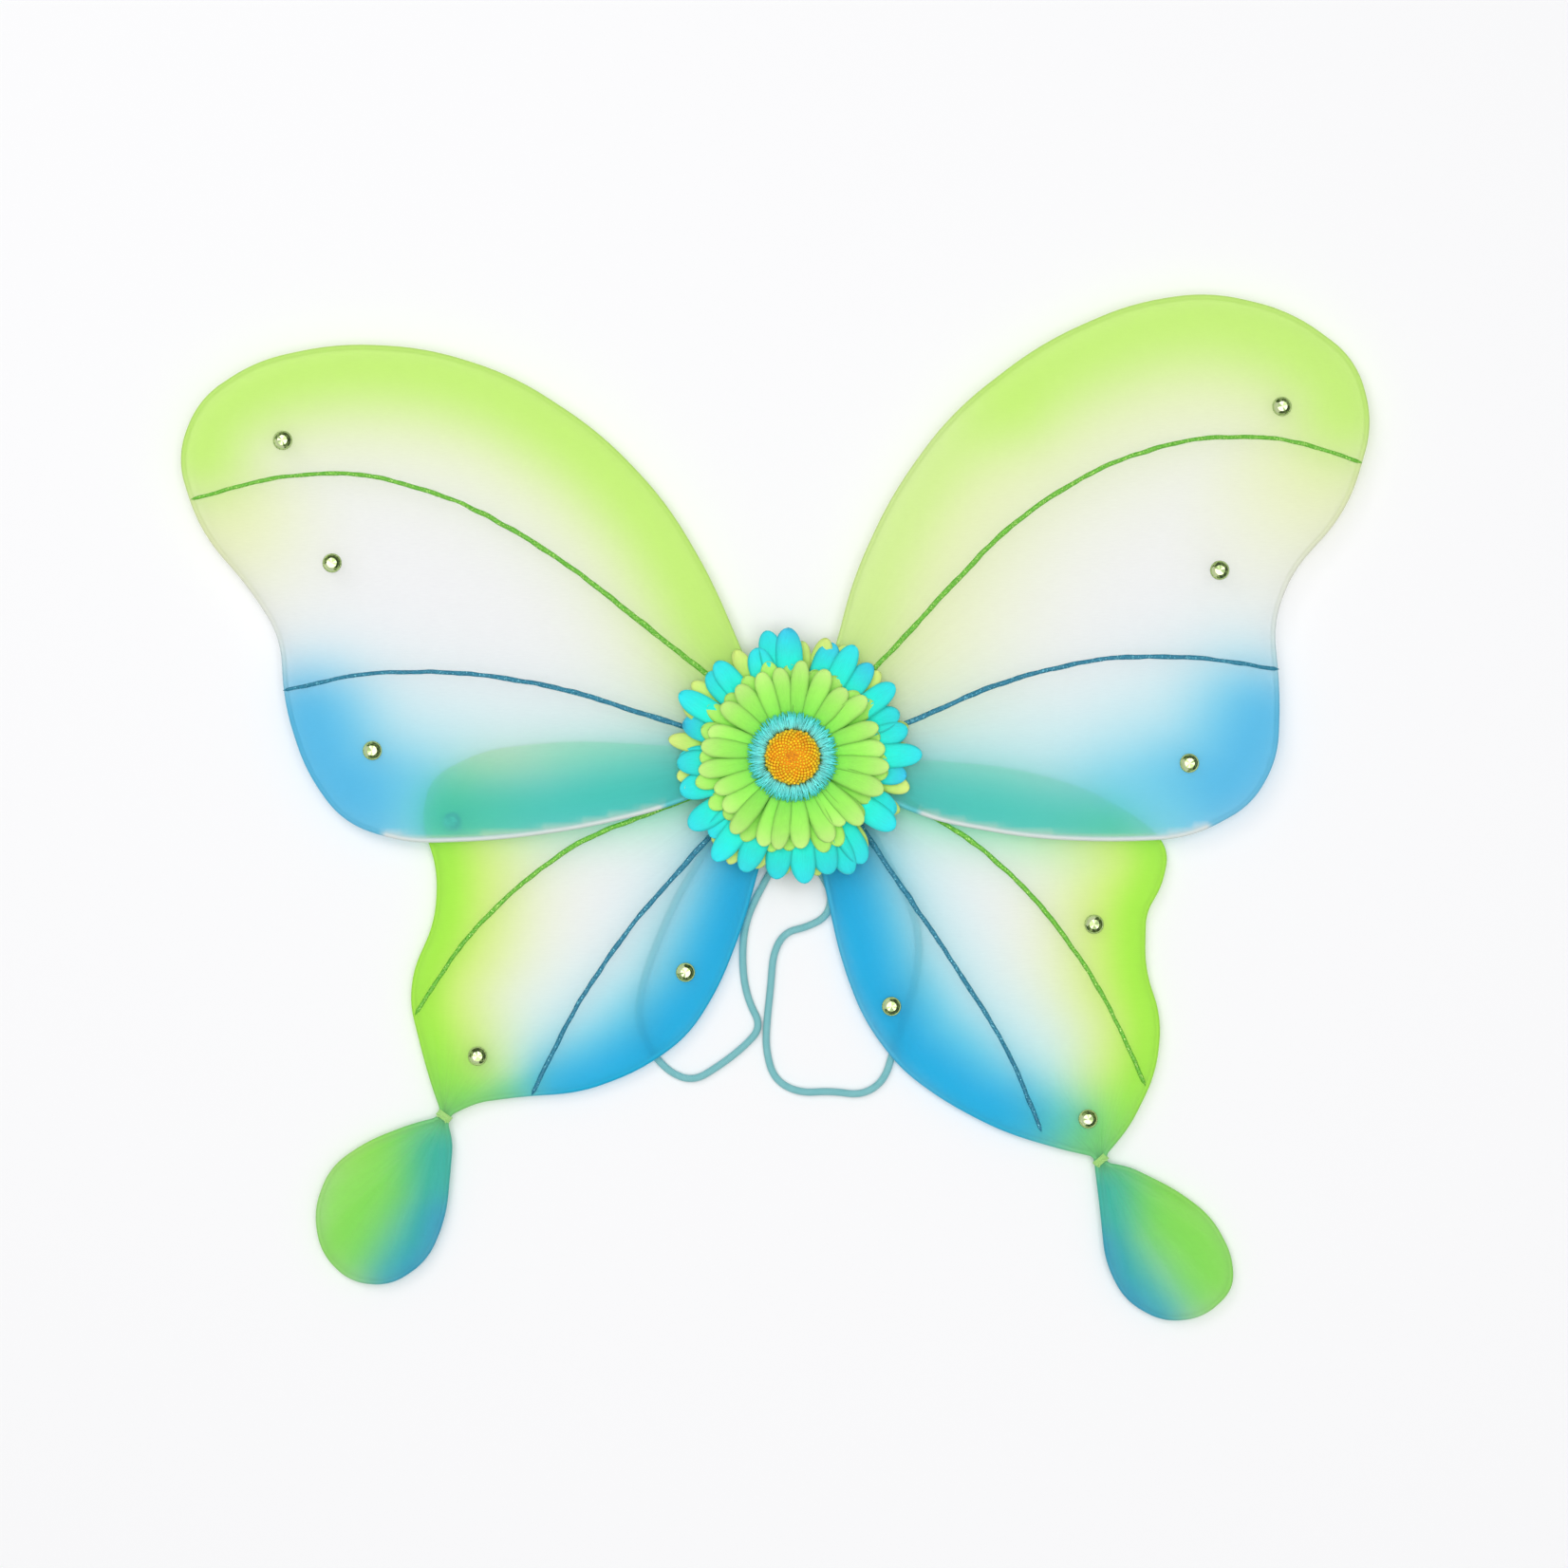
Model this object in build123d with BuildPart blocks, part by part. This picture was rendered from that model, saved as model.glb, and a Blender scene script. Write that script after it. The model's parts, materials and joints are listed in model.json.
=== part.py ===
"""Fairy wings: four sheer nylon wings on wire loops, tied behind a fabric flower.

The wings lie flat with the flower facing up, +Z.  +X is towards the right wings and +Y towards
the upper wings.  The origin is the middle of the back pad's rear face.  Sizes are in millimetres.

Every wing is a wire loop inside a nylon sleeve of two plies.  Wire, sleeve and veins are parted at
the wing's bend line, where the wires leave the flower, so that the outer wing can bend forward.
"""

from build123d import *
from math import cos, radians, sin, tan
import os

# ---- driving dimensions ---------------------------------------------------------------------

WIRE_RADIUS = 1.0
WIRE_PLAY = 0.05  # air between a wire and what it runs in
SLEEVE_SKIN = 0.25
SLEEVE_RADIUS = WIRE_RADIUS + WIRE_PLAY + SLEEVE_SKIN
BEND_GAP = 0.3  # air between the two parts of a wing at its bend line

VEIN_WIDTH = 2.4
VEIN_HEIGHT = 0.5
GEM_RADIUS = 4.0
GEM_TABLE_RADIUS = 2.1
GEM_GIRDLE = 0.5
GEM_HEIGHT = 2.1

PAD_WIDTH = 26.0
PAD_LENGTH = 62.0
PAD_CORNER = 11.0
PAD_THICKNESS = 2.0

BINDING_HALF_WIDTH = 13.0
BINDING_HALF_LENGTH = 17.0
BINDING_TOP = 13.8
BINDING_CLEARANCE = 0.3

LOWER_WING_Z = 5.3  # middle of the lower wings' wires
UPPER_WING_Z = 10.5  # middle of the upper wings' wires

STRAP_DIAMETER = 3.0
STRAP_Z = 1.6
KNOT_RADIUS = 3.0
KNOT_Z = 3.2
KNOT_SEAT_RADIUS = 3.2
STRAP_SLOT_WIDTH = 3.4
LOWER_KNOT = (4.0, -25.5)
UPPER_KNOT = (5.0, 23.0)

TIE_LENGTH = 3.0
TIE_THICKNESS = 0.9
TIE_CLEARANCE = 0.25
NECK_SPREAD = 3.9  # the two strands' middles at a tail's neck, with room for their bends

ARC_SHARE = 0.45  # share of the shorter run that a corner's arc takes

# ---- wings: outlines run from the binding out along the upper edge and back along the lower edge

WINGS = {
    "upper_left": {
        "z": UPPER_WING_Z,
        "bend_distance": 54.5,
        "bend_angle": 158.4,
        "outline": [
            (-5.5, 6), (-22, 44), (-34.5, 73.5), (-53, 105), (-80, 133.5), (-116, 157),
            (-152, 168.3), (-188, 170), (-221, 163), (-244.5, 147.5), (-253.5, 124), (-244, 94),
            (-223.5, 70.5), (-210.5, 50), (-209, 22), (-200, -5.5), (-185.2, -26), (-160, -34.5),
            (-124, -33.5), (-88, -28.8), (-50, -19.8), (-6, 0.8),
        ],
        "green_vein": [(-244, 107.5), (-214, 116), (-180, 118), (-140, 107.5), (-98, 84), (-35, 34)],
        "blue_vein": [(-206, 28.5), (-176, 35), (-136, 35.5), (-96, 29), (-38, 10.5)],
        "gems": [(-210.4, 130.8), (-190, 80.2), (-173.4, 2.8)],
    },
    "lower_left": {
        "z": LOWER_WING_Z,
        "bend_distance": 71.0,
        "bend_angle": 220.5,
        "outline": [
            (-5, -0.7), (-52, 4), (-94, 6), (-128, 2), (-149, -9), (-153, -26), (-146, -46),
            (-147, -68), (-156, -88), (-157.5, -102), (-152, -124), (-148.5, -136),
            (-144.9, -146.1), (-146.7, -150.1),
            (-158, -153), (-176, -160), (-191, -170.5), (-197.5, -188), (-194.5, -205),
            (-183, -216.5), (-167, -218), (-152, -208), (-144.5, -190), (-141.8, -160),
            (-143.9, -151.3), (-142.1, -147.3),
            (-131, -142), (-112, -139.5), (-88, -138), (-64, -129), (-44, -115), (-31, -94),
            (-21, -68), (-15, -46), (-4, -7),
        ],
        "neck": [(-144.4, -148.7), 247.0],
        "green_vein": [(-154, -103), (-138, -78), (-116, -55), (-88, -34), (-48, -19)],
        "blue_vein": [(-106, -136), (-90, -103), (-66, -68), (-30, -28)],
        "gems": [(-140.9, -26.6), (-44.3, -89), (-130.4, -123.7)],
    },
    "upper_right": {
        "z": UPPER_WING_Z,
        "bend_distance": 54.5,
        "bend_angle": 21.6,
        "outline": [
            (5.5, 6), (18.5, 44), (26, 73.5), (41.5, 107.5), (66, 141.5), (103.5, 170.5),
            (140, 186.5), (172, 191.5), (205.7, 183.5), (232, 164), (239, 138), (228.5, 102.5),
            (205.7, 77.5), (197.7, 56), (200.5, 26), (199.5, 0), (189, -19), (164, -32.5),
            (132, -34), (98, -32.5), (62, -26),
            (44, -19.5), (6, 0.8),
        ],
        "green_vein": [(231, 123), (204, 132), (168, 132.5), (130, 122), (90, 97), (33, 35.6)],
        "blue_vein": [(196.5, 37), (168, 41.5), (128, 41.5), (88, 32), (40, 11)],
        "gems": [(202, 144.8), (176.3, 77.2), (163.8, -2.4)],
    },
    "lower_right": {
        "z": LOWER_WING_Z,
        "bend_distance": 71.0,
        "bend_angle": 319.5,
        "outline": [
            (5, -0.7), (56, -2), (90, -5), (120, -13), (144, -26.5), (155.3, -38),
            (152.2, -53), (145.5, -64), (145, -88), (152, -108), (149.8, -130.5), (139, -152.5),
            (128.9, -164.5), (129.5, -168.9),
            (139.3, -170.6), (158.5, -180), (173, -191), (181.2, -206.5), (182, -220),
            (170, -231.3), (154, -233), (138.6, -224.5), (130.7, -209), (128.4, -186),
            (126.4, -170),
            (125.9, -164.6),
            (113, -161.8), (88, -154.5), (64, -142), (45.5, -128.5), (30.5, -108.5), (21, -83.5),
            (15.5, -58), (4, -7),
        ],
        "neck": [(127.7, -167.0), 278.0],
        "green_vein": [(144.5, -132), (127, -94), (100, -57), (72, -32), (45, -20)],
        "blue_vein": [(101.5, -151), (90, -122), (66, -84), (30, -31)],
        "gems": [(124.9, -69.1), (41, -103.1), (122.4, -149.7)],
    },
}

# ---- straps: each runs from its lower knot round its loop to its upper knot, all on the ground

STRAPS = {
    "left": [
        (-4, -28.6), (-4.8, -40), (-13, -54), (-20, -69), (-21, -87), (-18.5, -101), (-12.6, -112),
        (-21, -121), (-31, -128.5), (-41, -134.5), (-51, -131), (-59, -122), (-64.5, -109),
        (-62.5, -94), (-56, -76), (-48, -58), (-37, -40), (-28.5, -22), (-26, -6), (-25, 7.5),
        (-21.5, 18.5), (-15.5, 23.2), (-8.1, 23),
    ],
    "right": [
        (4, -28.6), (4.6, -38.5), (12, -48), (16.5, -57), (14.5, -66), (6, -70.5), (-3, -72.5),
        (-8, -81), (-9, -95), (-10.8, -111), (-11, -122), (-7.5, -134), (3, -139.5), (16, -138.5),
        (29, -140.5), (38.5, -134), (42, -121), (47.5, -106), (52, -90), (53, -73), (47, -56),
        (37, -39), (28.5, -22), (26, -6), (25, 7.5), (21.5, 18.5), (15.5, 23.2), (8.1, 23),
    ],
}

# ---- flower: rings of petals from back to front -----------------------------------------------

FLOWER_BASE_RADIUS = 20.0
FLOWER_BASE_THICKNESS = 1.2
PETAL_LAYER_GAP = 0.1
PETAL_RINGS = {
    "back_petals": {"count": 26, "reach": 50.0, "width": 9.0, "thickness": 1.2},
    "outer_petals": {"count": 27, "reach": 54.0, "width": 9.6, "thickness": 2.0},
    "middle_petals": {"count": 24, "reach": 41.0, "width": 8.4, "thickness": 2.0},
    "inner_petals": {"count": 24, "reach": 37.0, "width": 8.0, "thickness": 2.0},
}
FRINGE_RADIUS = 19.0
FRINGE_HEIGHT = 3.6
CENTRE_RADIUS = 11.7
CENTRE_HEIGHT = 5.4
CENTRE_ROUND = 3.0
CENTRE_GAP = 0.2


# ---- paths ------------------------------------------------------------------------------------


def corner_radii(points):
    """Arc radius at each inner corner, as large as the shorter run beside it allows."""
    found = []
    for before, corner, after in zip(points, points[1:], points[2:]):
        run_in = Vector(*corner) - Vector(*before)
        run_out = Vector(*after) - Vector(*corner)
        half_turn = radians(run_in.get_angle(run_out)) / 2
        shorter = min(run_in.length, run_out.length)
        found.append(ARC_SHARE * shorter / tan(half_turn))
    return found


def at_height(points, height):
    """The same points at one height."""
    return [(x, y, height) for x, y in points]


def bend_plane(wing, shift):
    """Upright plane on the wing's bend line, facing outward, moved outward by shift."""
    angle = radians(wing["bend_angle"])
    outward = Vector(cos(angle), sin(angle), 0)
    return Plane(origin=outward * (wing["bend_distance"] + shift), x_dir=(0, 0, 1), z_dir=outward)


def outer_of(wing):
    """Arguments for split that keep what is outside the bend line."""
    return {"bisect_by": bend_plane(wing, BEND_GAP / 2), "keep": Keep.TOP}


def root_of(wing):
    """Arguments for split that keep what is inside the bend line."""
    return {"bisect_by": bend_plane(wing, -BEND_GAP / 2), "keep": Keep.BOTTOM}


# ---- wing pieces --------------------------------------------------------------------------------


def wing_wire(wing, side):
    """The wire loop's share on one side of the bend line."""
    points = wing["outline"]
    with BuildPart() as wire:
        with BuildLine() as path:
            FilletPolyline(*at_height(points, wing["z"]), radius=corner_radii(points))
        with BuildSketch(path.line ^ 0):
            Circle(WIRE_RADIUS)
        sweep()
        split(**side)
    return wire.part


def sleeve_profile(wing, spread):
    """Closed outline of the wire loop, spread outward."""
    points = wing["outline"]
    with BuildSketch() as profile:
        with BuildLine():
            FilletPolyline(*points, radius=corner_radii(points))
            Line(points[-1], points[0])
        make_face()
        offset(amount=spread)
        Ellipse(
            BINDING_HALF_WIDTH + BINDING_CLEARANCE,
            BINDING_HALF_LENGTH + BINDING_CLEARANCE,
            mode=Mode.SUBTRACT,
        )
    return profile.sketch


def wing_sleeve(wing, side):
    """The nylon sleeve's share on one side: two plies, closed round the wire, hollow between."""
    low = wing["z"] - SLEEVE_RADIUS
    with BuildPart() as sleeve:
        with BuildSketch(Plane.XY.offset(low)):
            add(sleeve_profile(wing, SLEEVE_RADIUS))
        extrude(amount=2 * SLEEVE_RADIUS)
        with BuildSketch(Plane.XY.offset(low + SLEEVE_SKIN)):
            add(sleeve_profile(wing, SLEEVE_RADIUS - SLEEVE_SKIN))
        extrude(amount=2 * (SLEEVE_RADIUS - SLEEVE_SKIN), mode=Mode.SUBTRACT)
        split(**side)
    return sleeve.part


def wing_vein(wing, colour, side):
    """The share of one raised glitter line that lies on the sleeve on one side."""
    points = wing[colour + "_vein"]
    base = wing["z"] + SLEEVE_RADIUS
    with BuildPart() as vein:
        with BuildLine() as path:
            FilletPolyline(*at_height(points, base + VEIN_HEIGHT / 2), radius=corner_radii(points))
        with BuildSketch(path.line ^ 0) as section:
            Rectangle(VEIN_WIDTH, VEIN_HEIGHT)
        if section.sketch.bounding_box().size.Z > (VEIN_WIDTH + VEIN_HEIGHT) / 2:
            raise ValueError("the vein's section stands on its edge")
        sweep()
        split(**side)
    return vein.part


def wing_gem(wing, place):
    """A flat-backed gem on the sleeve: a thin girdle, a cone and a flat table."""
    base = wing["z"] + SLEEVE_RADIUS
    with BuildPart() as gem:
        with BuildSketch(Plane.XY.offset(base)):
            with Locations(place):
                Circle(GEM_RADIUS)
        extrude(amount=GEM_GIRDLE)
        with BuildSketch(Plane.XY.offset(base + GEM_GIRDLE)):
            with Locations(place):
                Circle(GEM_RADIUS)
        with BuildSketch(Plane.XY.offset(base + GEM_HEIGHT)):
            with Locations(place):
                Circle(GEM_TABLE_RADIUS)
        loft()
    return gem.part


def tail_tie(wing):
    """The thread wound round the neck between a lower wing and its tail."""
    (x, y), direction = wing["neck"]
    inner_width = 2 * (SLEEVE_RADIUS + TIE_CLEARANCE) + NECK_SPREAD
    inner_height = 2 * (SLEEVE_RADIUS + TIE_CLEARANCE)
    heading = Vector(cos(radians(direction)), sin(radians(direction)), 0)
    across = Plane(origin=Vector(x, y, wing["z"]), x_dir=(heading.Y, -heading.X, 0), z_dir=heading)
    with BuildPart() as tie:
        with BuildSketch(across):
            RectangleRounded(
                inner_width + 2 * TIE_THICKNESS, inner_height + 2 * TIE_THICKNESS, TIE_THICKNESS
            )
            Rectangle(inner_width, inner_height, mode=Mode.SUBTRACT)
        extrude(amount=TIE_LENGTH / 2, both=True)
    return tie.part


# ---- hub pieces ---------------------------------------------------------------------------------


def back_pad():
    """Felt pad behind the binding, with a slotted seat for each strap's knot."""
    lower_x, lower_y = LOWER_KNOT
    upper_x, upper_y = UPPER_KNOT
    with BuildPart() as pad:
        with BuildSketch():
            RectangleRounded(PAD_WIDTH, PAD_LENGTH, PAD_CORNER)
            for side in (-1, 1):
                with Locations((side * lower_x, lower_y), (side * upper_x, upper_y)):
                    Circle(KNOT_SEAT_RADIUS, mode=Mode.SUBTRACT)
                with Locations((side * lower_x, lower_y - PAD_WIDTH / 2)):
                    Rectangle(STRAP_SLOT_WIDTH, PAD_WIDTH, mode=Mode.SUBTRACT)
                with Locations((side * (upper_x + PAD_WIDTH / 2), upper_y)):
                    Rectangle(PAD_WIDTH, STRAP_SLOT_WIDTH, mode=Mode.SUBTRACT)
        extrude(amount=PAD_THICKNESS)
    return pad.part


def wire_channel(end, inner, height):
    """A straight channel for the wire that runs from inner, inside the binding, towards end."""
    with BuildPart(mode=Mode.PRIVATE) as channel:
        with BuildLine() as path:
            Line((*inner, height), (*end, height))
        with BuildSketch(path.line ^ 0):
            Circle(WIRE_RADIUS + WIRE_PLAY)
        sweep()
    return channel.part


def binding():
    """Tape-wrapped lump that holds the eight wire ends, standing on the back pad."""
    channels = []
    for wing in WINGS.values():
        points = wing["outline"]
        channels.append(wire_channel(points[1], points[0], wing["z"]))
        channels.append(wire_channel(points[-2], points[-1], wing["z"]))
    with BuildPart() as lump:
        with BuildSketch(Plane.XY.offset(PAD_THICKNESS)):
            Ellipse(BINDING_HALF_WIDTH, BINDING_HALF_LENGTH)
        extrude(amount=BINDING_TOP - PAD_THICKNESS)
        for channel in channels:
            add(channel, mode=Mode.SUBTRACT)
    return lump.part


def knot(place):
    """The knot at a strap's end, seated in the back pad."""
    with BuildPart() as ball:
        with Locations((*place, KNOT_Z)):
            Sphere(KNOT_RADIUS)
    return ball.part


def strap(points):
    """A round elastic strap, lying on the ground along its route."""
    bends = corner_radii(points)
    with BuildPart() as cord:
        with BuildLine() as path:
            FilletPolyline(*at_height(points, STRAP_Z), radius=bends)
        with BuildSketch(path.line ^ 0):
            Circle(STRAP_DIAMETER / 2)
        sweep()
    length = sum(edge.length for edge in path.edges())
    section = cord.part.volume / length
    print("strap length", round(length, 1), "section by volume", round(section, 3))
    print("strap radii", [round(bend, 1) for bend in bends])
    return cord.part


def petal_ring(ring, height, phase):
    """One ring of round-ended petals around a solid middle."""
    inner = FLOWER_BASE_RADIUS / 2
    length = ring["reach"] - inner
    with BuildPart() as petals:
        with BuildSketch(Plane.XY.offset(height)):
            Circle(FLOWER_BASE_RADIUS)
            with PolarLocations(inner + length / 2, ring["count"], start_angle=phase):
                SlotOverall(length, ring["width"])
        extrude(amount=ring["thickness"])
    return petals.part


def disc(radius, height, thickness, hole=0.0):
    """A flat round piece, with a round hole where hole is its radius."""
    with BuildPart() as piece:
        with BuildSketch(Plane.XY.offset(height)):
            Circle(radius)
            if hole:
                Circle(hole, mode=Mode.SUBTRACT)
        extrude(amount=thickness)
    return piece.part


def seed_button(height):
    """The flower's round centre, with a rounded rim."""
    with BuildPart() as button:
        with BuildSketch(Plane.XY.offset(height)):
            Circle(CENTRE_RADIUS)
        extrude(amount=CENTRE_HEIGHT)
        fillet(button.faces().sort_by(Axis.Z)[-1].edges(), radius=CENTRE_ROUND)
    return button.part


# ---- all pieces ---------------------------------------------------------------------------------


def save(name, piece):
    """Label one piece and write its STEP file."""
    piece.label = name
    export_step(piece, os.path.join("parts", name + ".step"))


def save_wings():
    """Write every wing's pieces."""
    for name, wing in WINGS.items():
        save(name + "_wire", wing_wire(wing, outer_of(wing)))
        save(name + "_wire_root", wing_wire(wing, root_of(wing)))
        save(name + "_sleeve", wing_sleeve(wing, outer_of(wing)))
        save(name + "_sleeve_root", wing_sleeve(wing, root_of(wing)))
        for colour in ("green", "blue"):
            save(f"{name}_{colour}_vein", wing_vein(wing, colour, outer_of(wing)))
        for number, place in enumerate(wing["gems"], start=1):
            save(f"{name}_gem_{number}", wing_gem(wing, place))
        if "neck" in wing:
            save(name + "_tail_tie", tail_tie(wing))


def save_vein_roots():
    """Write the veins' inner ends, one node for each colour."""
    for colour in ("green", "blue"):
        ends = [wing_vein(wing, colour, root_of(wing)) for wing in WINGS.values()]
        save(colour + "_vein_roots", Compound(children=ends))


def save_straps():
    """Write both straps and their knots."""
    for name, points in STRAPS.items():
        side = -1 if name == "left" else 1
        save(name + "_strap", strap(points))
        save(name + "_strap_lower_knot", knot((side * LOWER_KNOT[0], LOWER_KNOT[1])))
        save(name + "_strap_upper_knot", knot((side * UPPER_KNOT[0], UPPER_KNOT[1])))


def save_flower():
    """Write the flower, from its base disc up to its centre."""
    height = BINDING_TOP
    save("flower_base", disc(FLOWER_BASE_RADIUS, height, FLOWER_BASE_THICKNESS))
    height += FLOWER_BASE_THICKNESS
    for step, (name, ring) in enumerate(PETAL_RINGS.items()):
        half_step = 180 / ring["count"] * (step % 2)
        save(name, petal_ring(ring, height, half_step))
        height += ring["thickness"] + PETAL_LAYER_GAP
    save("fringe_ring", disc(FRINGE_RADIUS, height, FRINGE_HEIGHT, CENTRE_RADIUS + CENTRE_GAP))
    save("flower_centre", seed_button(height))


os.makedirs("parts", exist_ok=True)
save("back_pad", back_pad())
save("binding", binding())
save_wings()
save_vein_roots()
save_straps()
save_flower()
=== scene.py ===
"""Looks of the fairy wings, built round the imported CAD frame.

Metres, +Z out of the flower.  MM turns sizes that are given in millimetres into metres.
"""

import json
import math
import random

import bpy
import numpy as np
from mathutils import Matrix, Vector, noise
from mathutils.geometry import delaunay_2d_cdt


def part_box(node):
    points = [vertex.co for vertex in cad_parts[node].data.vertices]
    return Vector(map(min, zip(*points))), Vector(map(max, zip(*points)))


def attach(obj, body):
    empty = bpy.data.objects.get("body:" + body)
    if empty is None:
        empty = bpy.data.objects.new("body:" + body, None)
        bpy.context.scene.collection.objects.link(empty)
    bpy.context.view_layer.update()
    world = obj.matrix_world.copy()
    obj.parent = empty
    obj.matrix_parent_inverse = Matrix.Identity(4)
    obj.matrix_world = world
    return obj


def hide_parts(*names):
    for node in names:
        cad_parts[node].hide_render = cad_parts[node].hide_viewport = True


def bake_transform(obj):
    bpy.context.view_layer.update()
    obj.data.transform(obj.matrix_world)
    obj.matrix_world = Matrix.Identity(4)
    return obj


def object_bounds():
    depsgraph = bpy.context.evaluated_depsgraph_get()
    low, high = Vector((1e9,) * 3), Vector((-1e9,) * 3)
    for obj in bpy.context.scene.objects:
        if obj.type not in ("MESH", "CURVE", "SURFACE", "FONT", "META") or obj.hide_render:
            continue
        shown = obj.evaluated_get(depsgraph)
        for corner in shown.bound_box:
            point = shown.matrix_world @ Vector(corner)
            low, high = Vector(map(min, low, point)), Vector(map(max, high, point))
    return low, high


MM = 0.001
TURN = 2 * math.pi

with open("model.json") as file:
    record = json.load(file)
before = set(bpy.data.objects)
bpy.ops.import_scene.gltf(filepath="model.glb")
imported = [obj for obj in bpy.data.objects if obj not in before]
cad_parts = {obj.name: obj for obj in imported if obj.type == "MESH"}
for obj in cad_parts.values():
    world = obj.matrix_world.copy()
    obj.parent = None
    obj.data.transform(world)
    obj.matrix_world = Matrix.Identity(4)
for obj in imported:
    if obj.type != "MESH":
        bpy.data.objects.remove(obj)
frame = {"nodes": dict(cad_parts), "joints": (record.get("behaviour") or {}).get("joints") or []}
CAD_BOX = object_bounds()
JOINTS = {joint["name"]: joint for joint in frame["joints"]}
WINGS = ("upper_left", "upper_right", "lower_left", "lower_right")

# ---- camera, floor and light ----

CAMERA_AT = (-0.0035, -0.011, 1.54)
CAMERA_LENS = 85.0
SENSOR_WIDTH = 36.0
FLOOR_SIZE = 30.0
FLOOR_COLOUR = (0.93, 0.93, 0.94, 1)
FLOOR_DROP = 0.2 * MM  # how far the floor lies under the CAD box, so that no two faces share a plane
SKY_STRENGTH = 0.38

# Each light's place and width in metres, and its power in watts.
LIGHTS = {
    "overhead": ((0, 0, 3.2), 2.4, 59),
    "key": ((-0.9, 1.0, 1.9), 0.9, 8),
    "fill": ((0.9, -0.7, 1.7), 1.4, 3),
}


def add_object(name, data):
    """An object, linked to the scene."""
    made = bpy.data.objects.new(name, data)
    bpy.context.scene.collection.objects.link(made)
    return made


def add_camera():
    """A camera that looks straight down on the wings."""
    data = bpy.data.cameras.new("camera")
    data.lens = CAMERA_LENS
    data.sensor_width = SENSOR_WIDTH
    camera = add_object("camera", data)
    camera.location = CAMERA_AT
    bpy.context.scene.camera = camera


def add_area_light(name, place, size, power):
    """A square soft light that shines at the origin."""
    data = bpy.data.lights.new(name, "AREA")
    data.size = size
    data.energy = power
    light = add_object(name, data)
    light.location = place
    light.rotation_euler = (-Vector(place)).to_track_quat("-Z", "Y").to_euler()


def add_studio():
    """Even sky, one wide light overhead and two smaller ones for shape."""
    world = bpy.data.worlds.new("studio")
    bpy.context.scene.world = world
    world.use_nodes = True
    background = world.node_tree.nodes["Background"]
    background.inputs["Color"].default_value = (1, 1, 1, 1)
    background.inputs["Strength"].default_value = SKY_STRENGTH
    for name, (place, size, power) in LIGHTS.items():
        add_area_light(name, place, size, power)
    bpy.context.scene.view_settings.view_transform = "Standard"


# ---- node and material helpers ----


def linear(red, green, blue, alpha=1.0):
    """An sRGB colour in bytes as a linear colour."""
    def channel(value):
        value /= 255
        return value / 12.92 if value <= 0.04045 else ((value + 0.055) / 1.055) ** 2.4

    return (channel(red), channel(green), channel(blue), alpha)


def make(tree, kind, inputs=None, **settings):
    """A node with its settings and inputs; an input is a value or another node's output."""
    node = tree.nodes.new(kind)
    for name, value in settings.items():
        setattr(node, name, value)
    for name, value in (inputs or {}).items():
        if isinstance(value, bpy.types.NodeSocket):
            tree.links.new(value, node.inputs[name])
        else:
            node.inputs[name].default_value = value
    return node


def new_material(name):
    """An empty node material and its tree."""
    found = bpy.data.materials.new(name)
    found.use_nodes = True
    found.node_tree.nodes.clear()
    return found, found.node_tree


def surfaced(found, shader):
    """The material, with a shader as its surface."""
    tree = found.node_tree
    output = make(tree, "ShaderNodeOutputMaterial")
    tree.links.new(shader.outputs[0], output.inputs["Surface"])
    return found


def principled(found, inputs):
    """The material, with a Principled shader as its surface."""
    return surfaced(found, make(found.node_tree, "ShaderNodeBsdfPrincipled", inputs))


def attribute(tree, name, output="Color"):
    """A float attribute of the piece."""
    return make(tree, "ShaderNodeAttribute", attribute_name=name).outputs[output]


def rest_position(tree):
    """Where a point of the piece is at rest."""
    return attribute(tree, "rest", "Vector")


def dimmed_tint(tree, factor):
    """The piece's "tint" colours times a factor."""
    inputs = {0: attribute(tree, "tint"), "Scale": factor}
    return make(tree, "ShaderNodeVectorMath", inputs, operation="SCALE").outputs[0]


def scaled(tree, vector, factors):
    """vector times three factors."""
    inputs = {0: vector, 1: factors}
    return make(tree, "ShaderNodeVectorMath", inputs, operation="MULTIPLY").outputs[0]


def math_node(tree, operation, first, second=0.0, third=0.0):
    """One Math node's result."""
    inputs = {0: first, 1: second, 2: third}
    return make(tree, "ShaderNodeMath", inputs, operation=operation).outputs[0]


def times(tree, first, second):
    """first times second."""
    return math_node(tree, "MULTIPLY", first, second)


def times_plus(tree, first, second, third):
    """first times second plus third."""
    return math_node(tree, "MULTIPLY_ADD", first, second, third)


def varied(tree, base, noise_source, amount):
    """base, up and down by half the amount as the noise goes."""
    return times_plus(tree, math_node(tree, "SUBTRACT", noise_source, 0.5), amount, base)


def noise_value(tree, vector, scale, detail=3.0, roughness=0.55):
    """Noise from 0 to 1."""
    inputs = {"Vector": vector, "Scale": scale, "Detail": detail, "Roughness": roughness}
    return make(tree, "ShaderNodeTexNoise", inputs).outputs[0]


def spread_range(tree, value, low, high, to_low, to_high):
    """value from low to high as to_low to to_high."""
    inputs = {0: value, 1: low, 2: high, 3: to_low, 4: to_high}
    return make(tree, "ShaderNodeMapRange", inputs).outputs[0]


def mixed(tree, factor, first, second):
    """A mix of two colours."""
    node = make(tree, "ShaderNodeMix", data_type="RGBA")
    for index, value in ((0, factor), (6, first), (7, second)):
        if isinstance(value, bpy.types.NodeSocket):
            tree.links.new(value, node.inputs[index])
        else:
            node.inputs[index].default_value = value
    return node.outputs[2]


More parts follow.
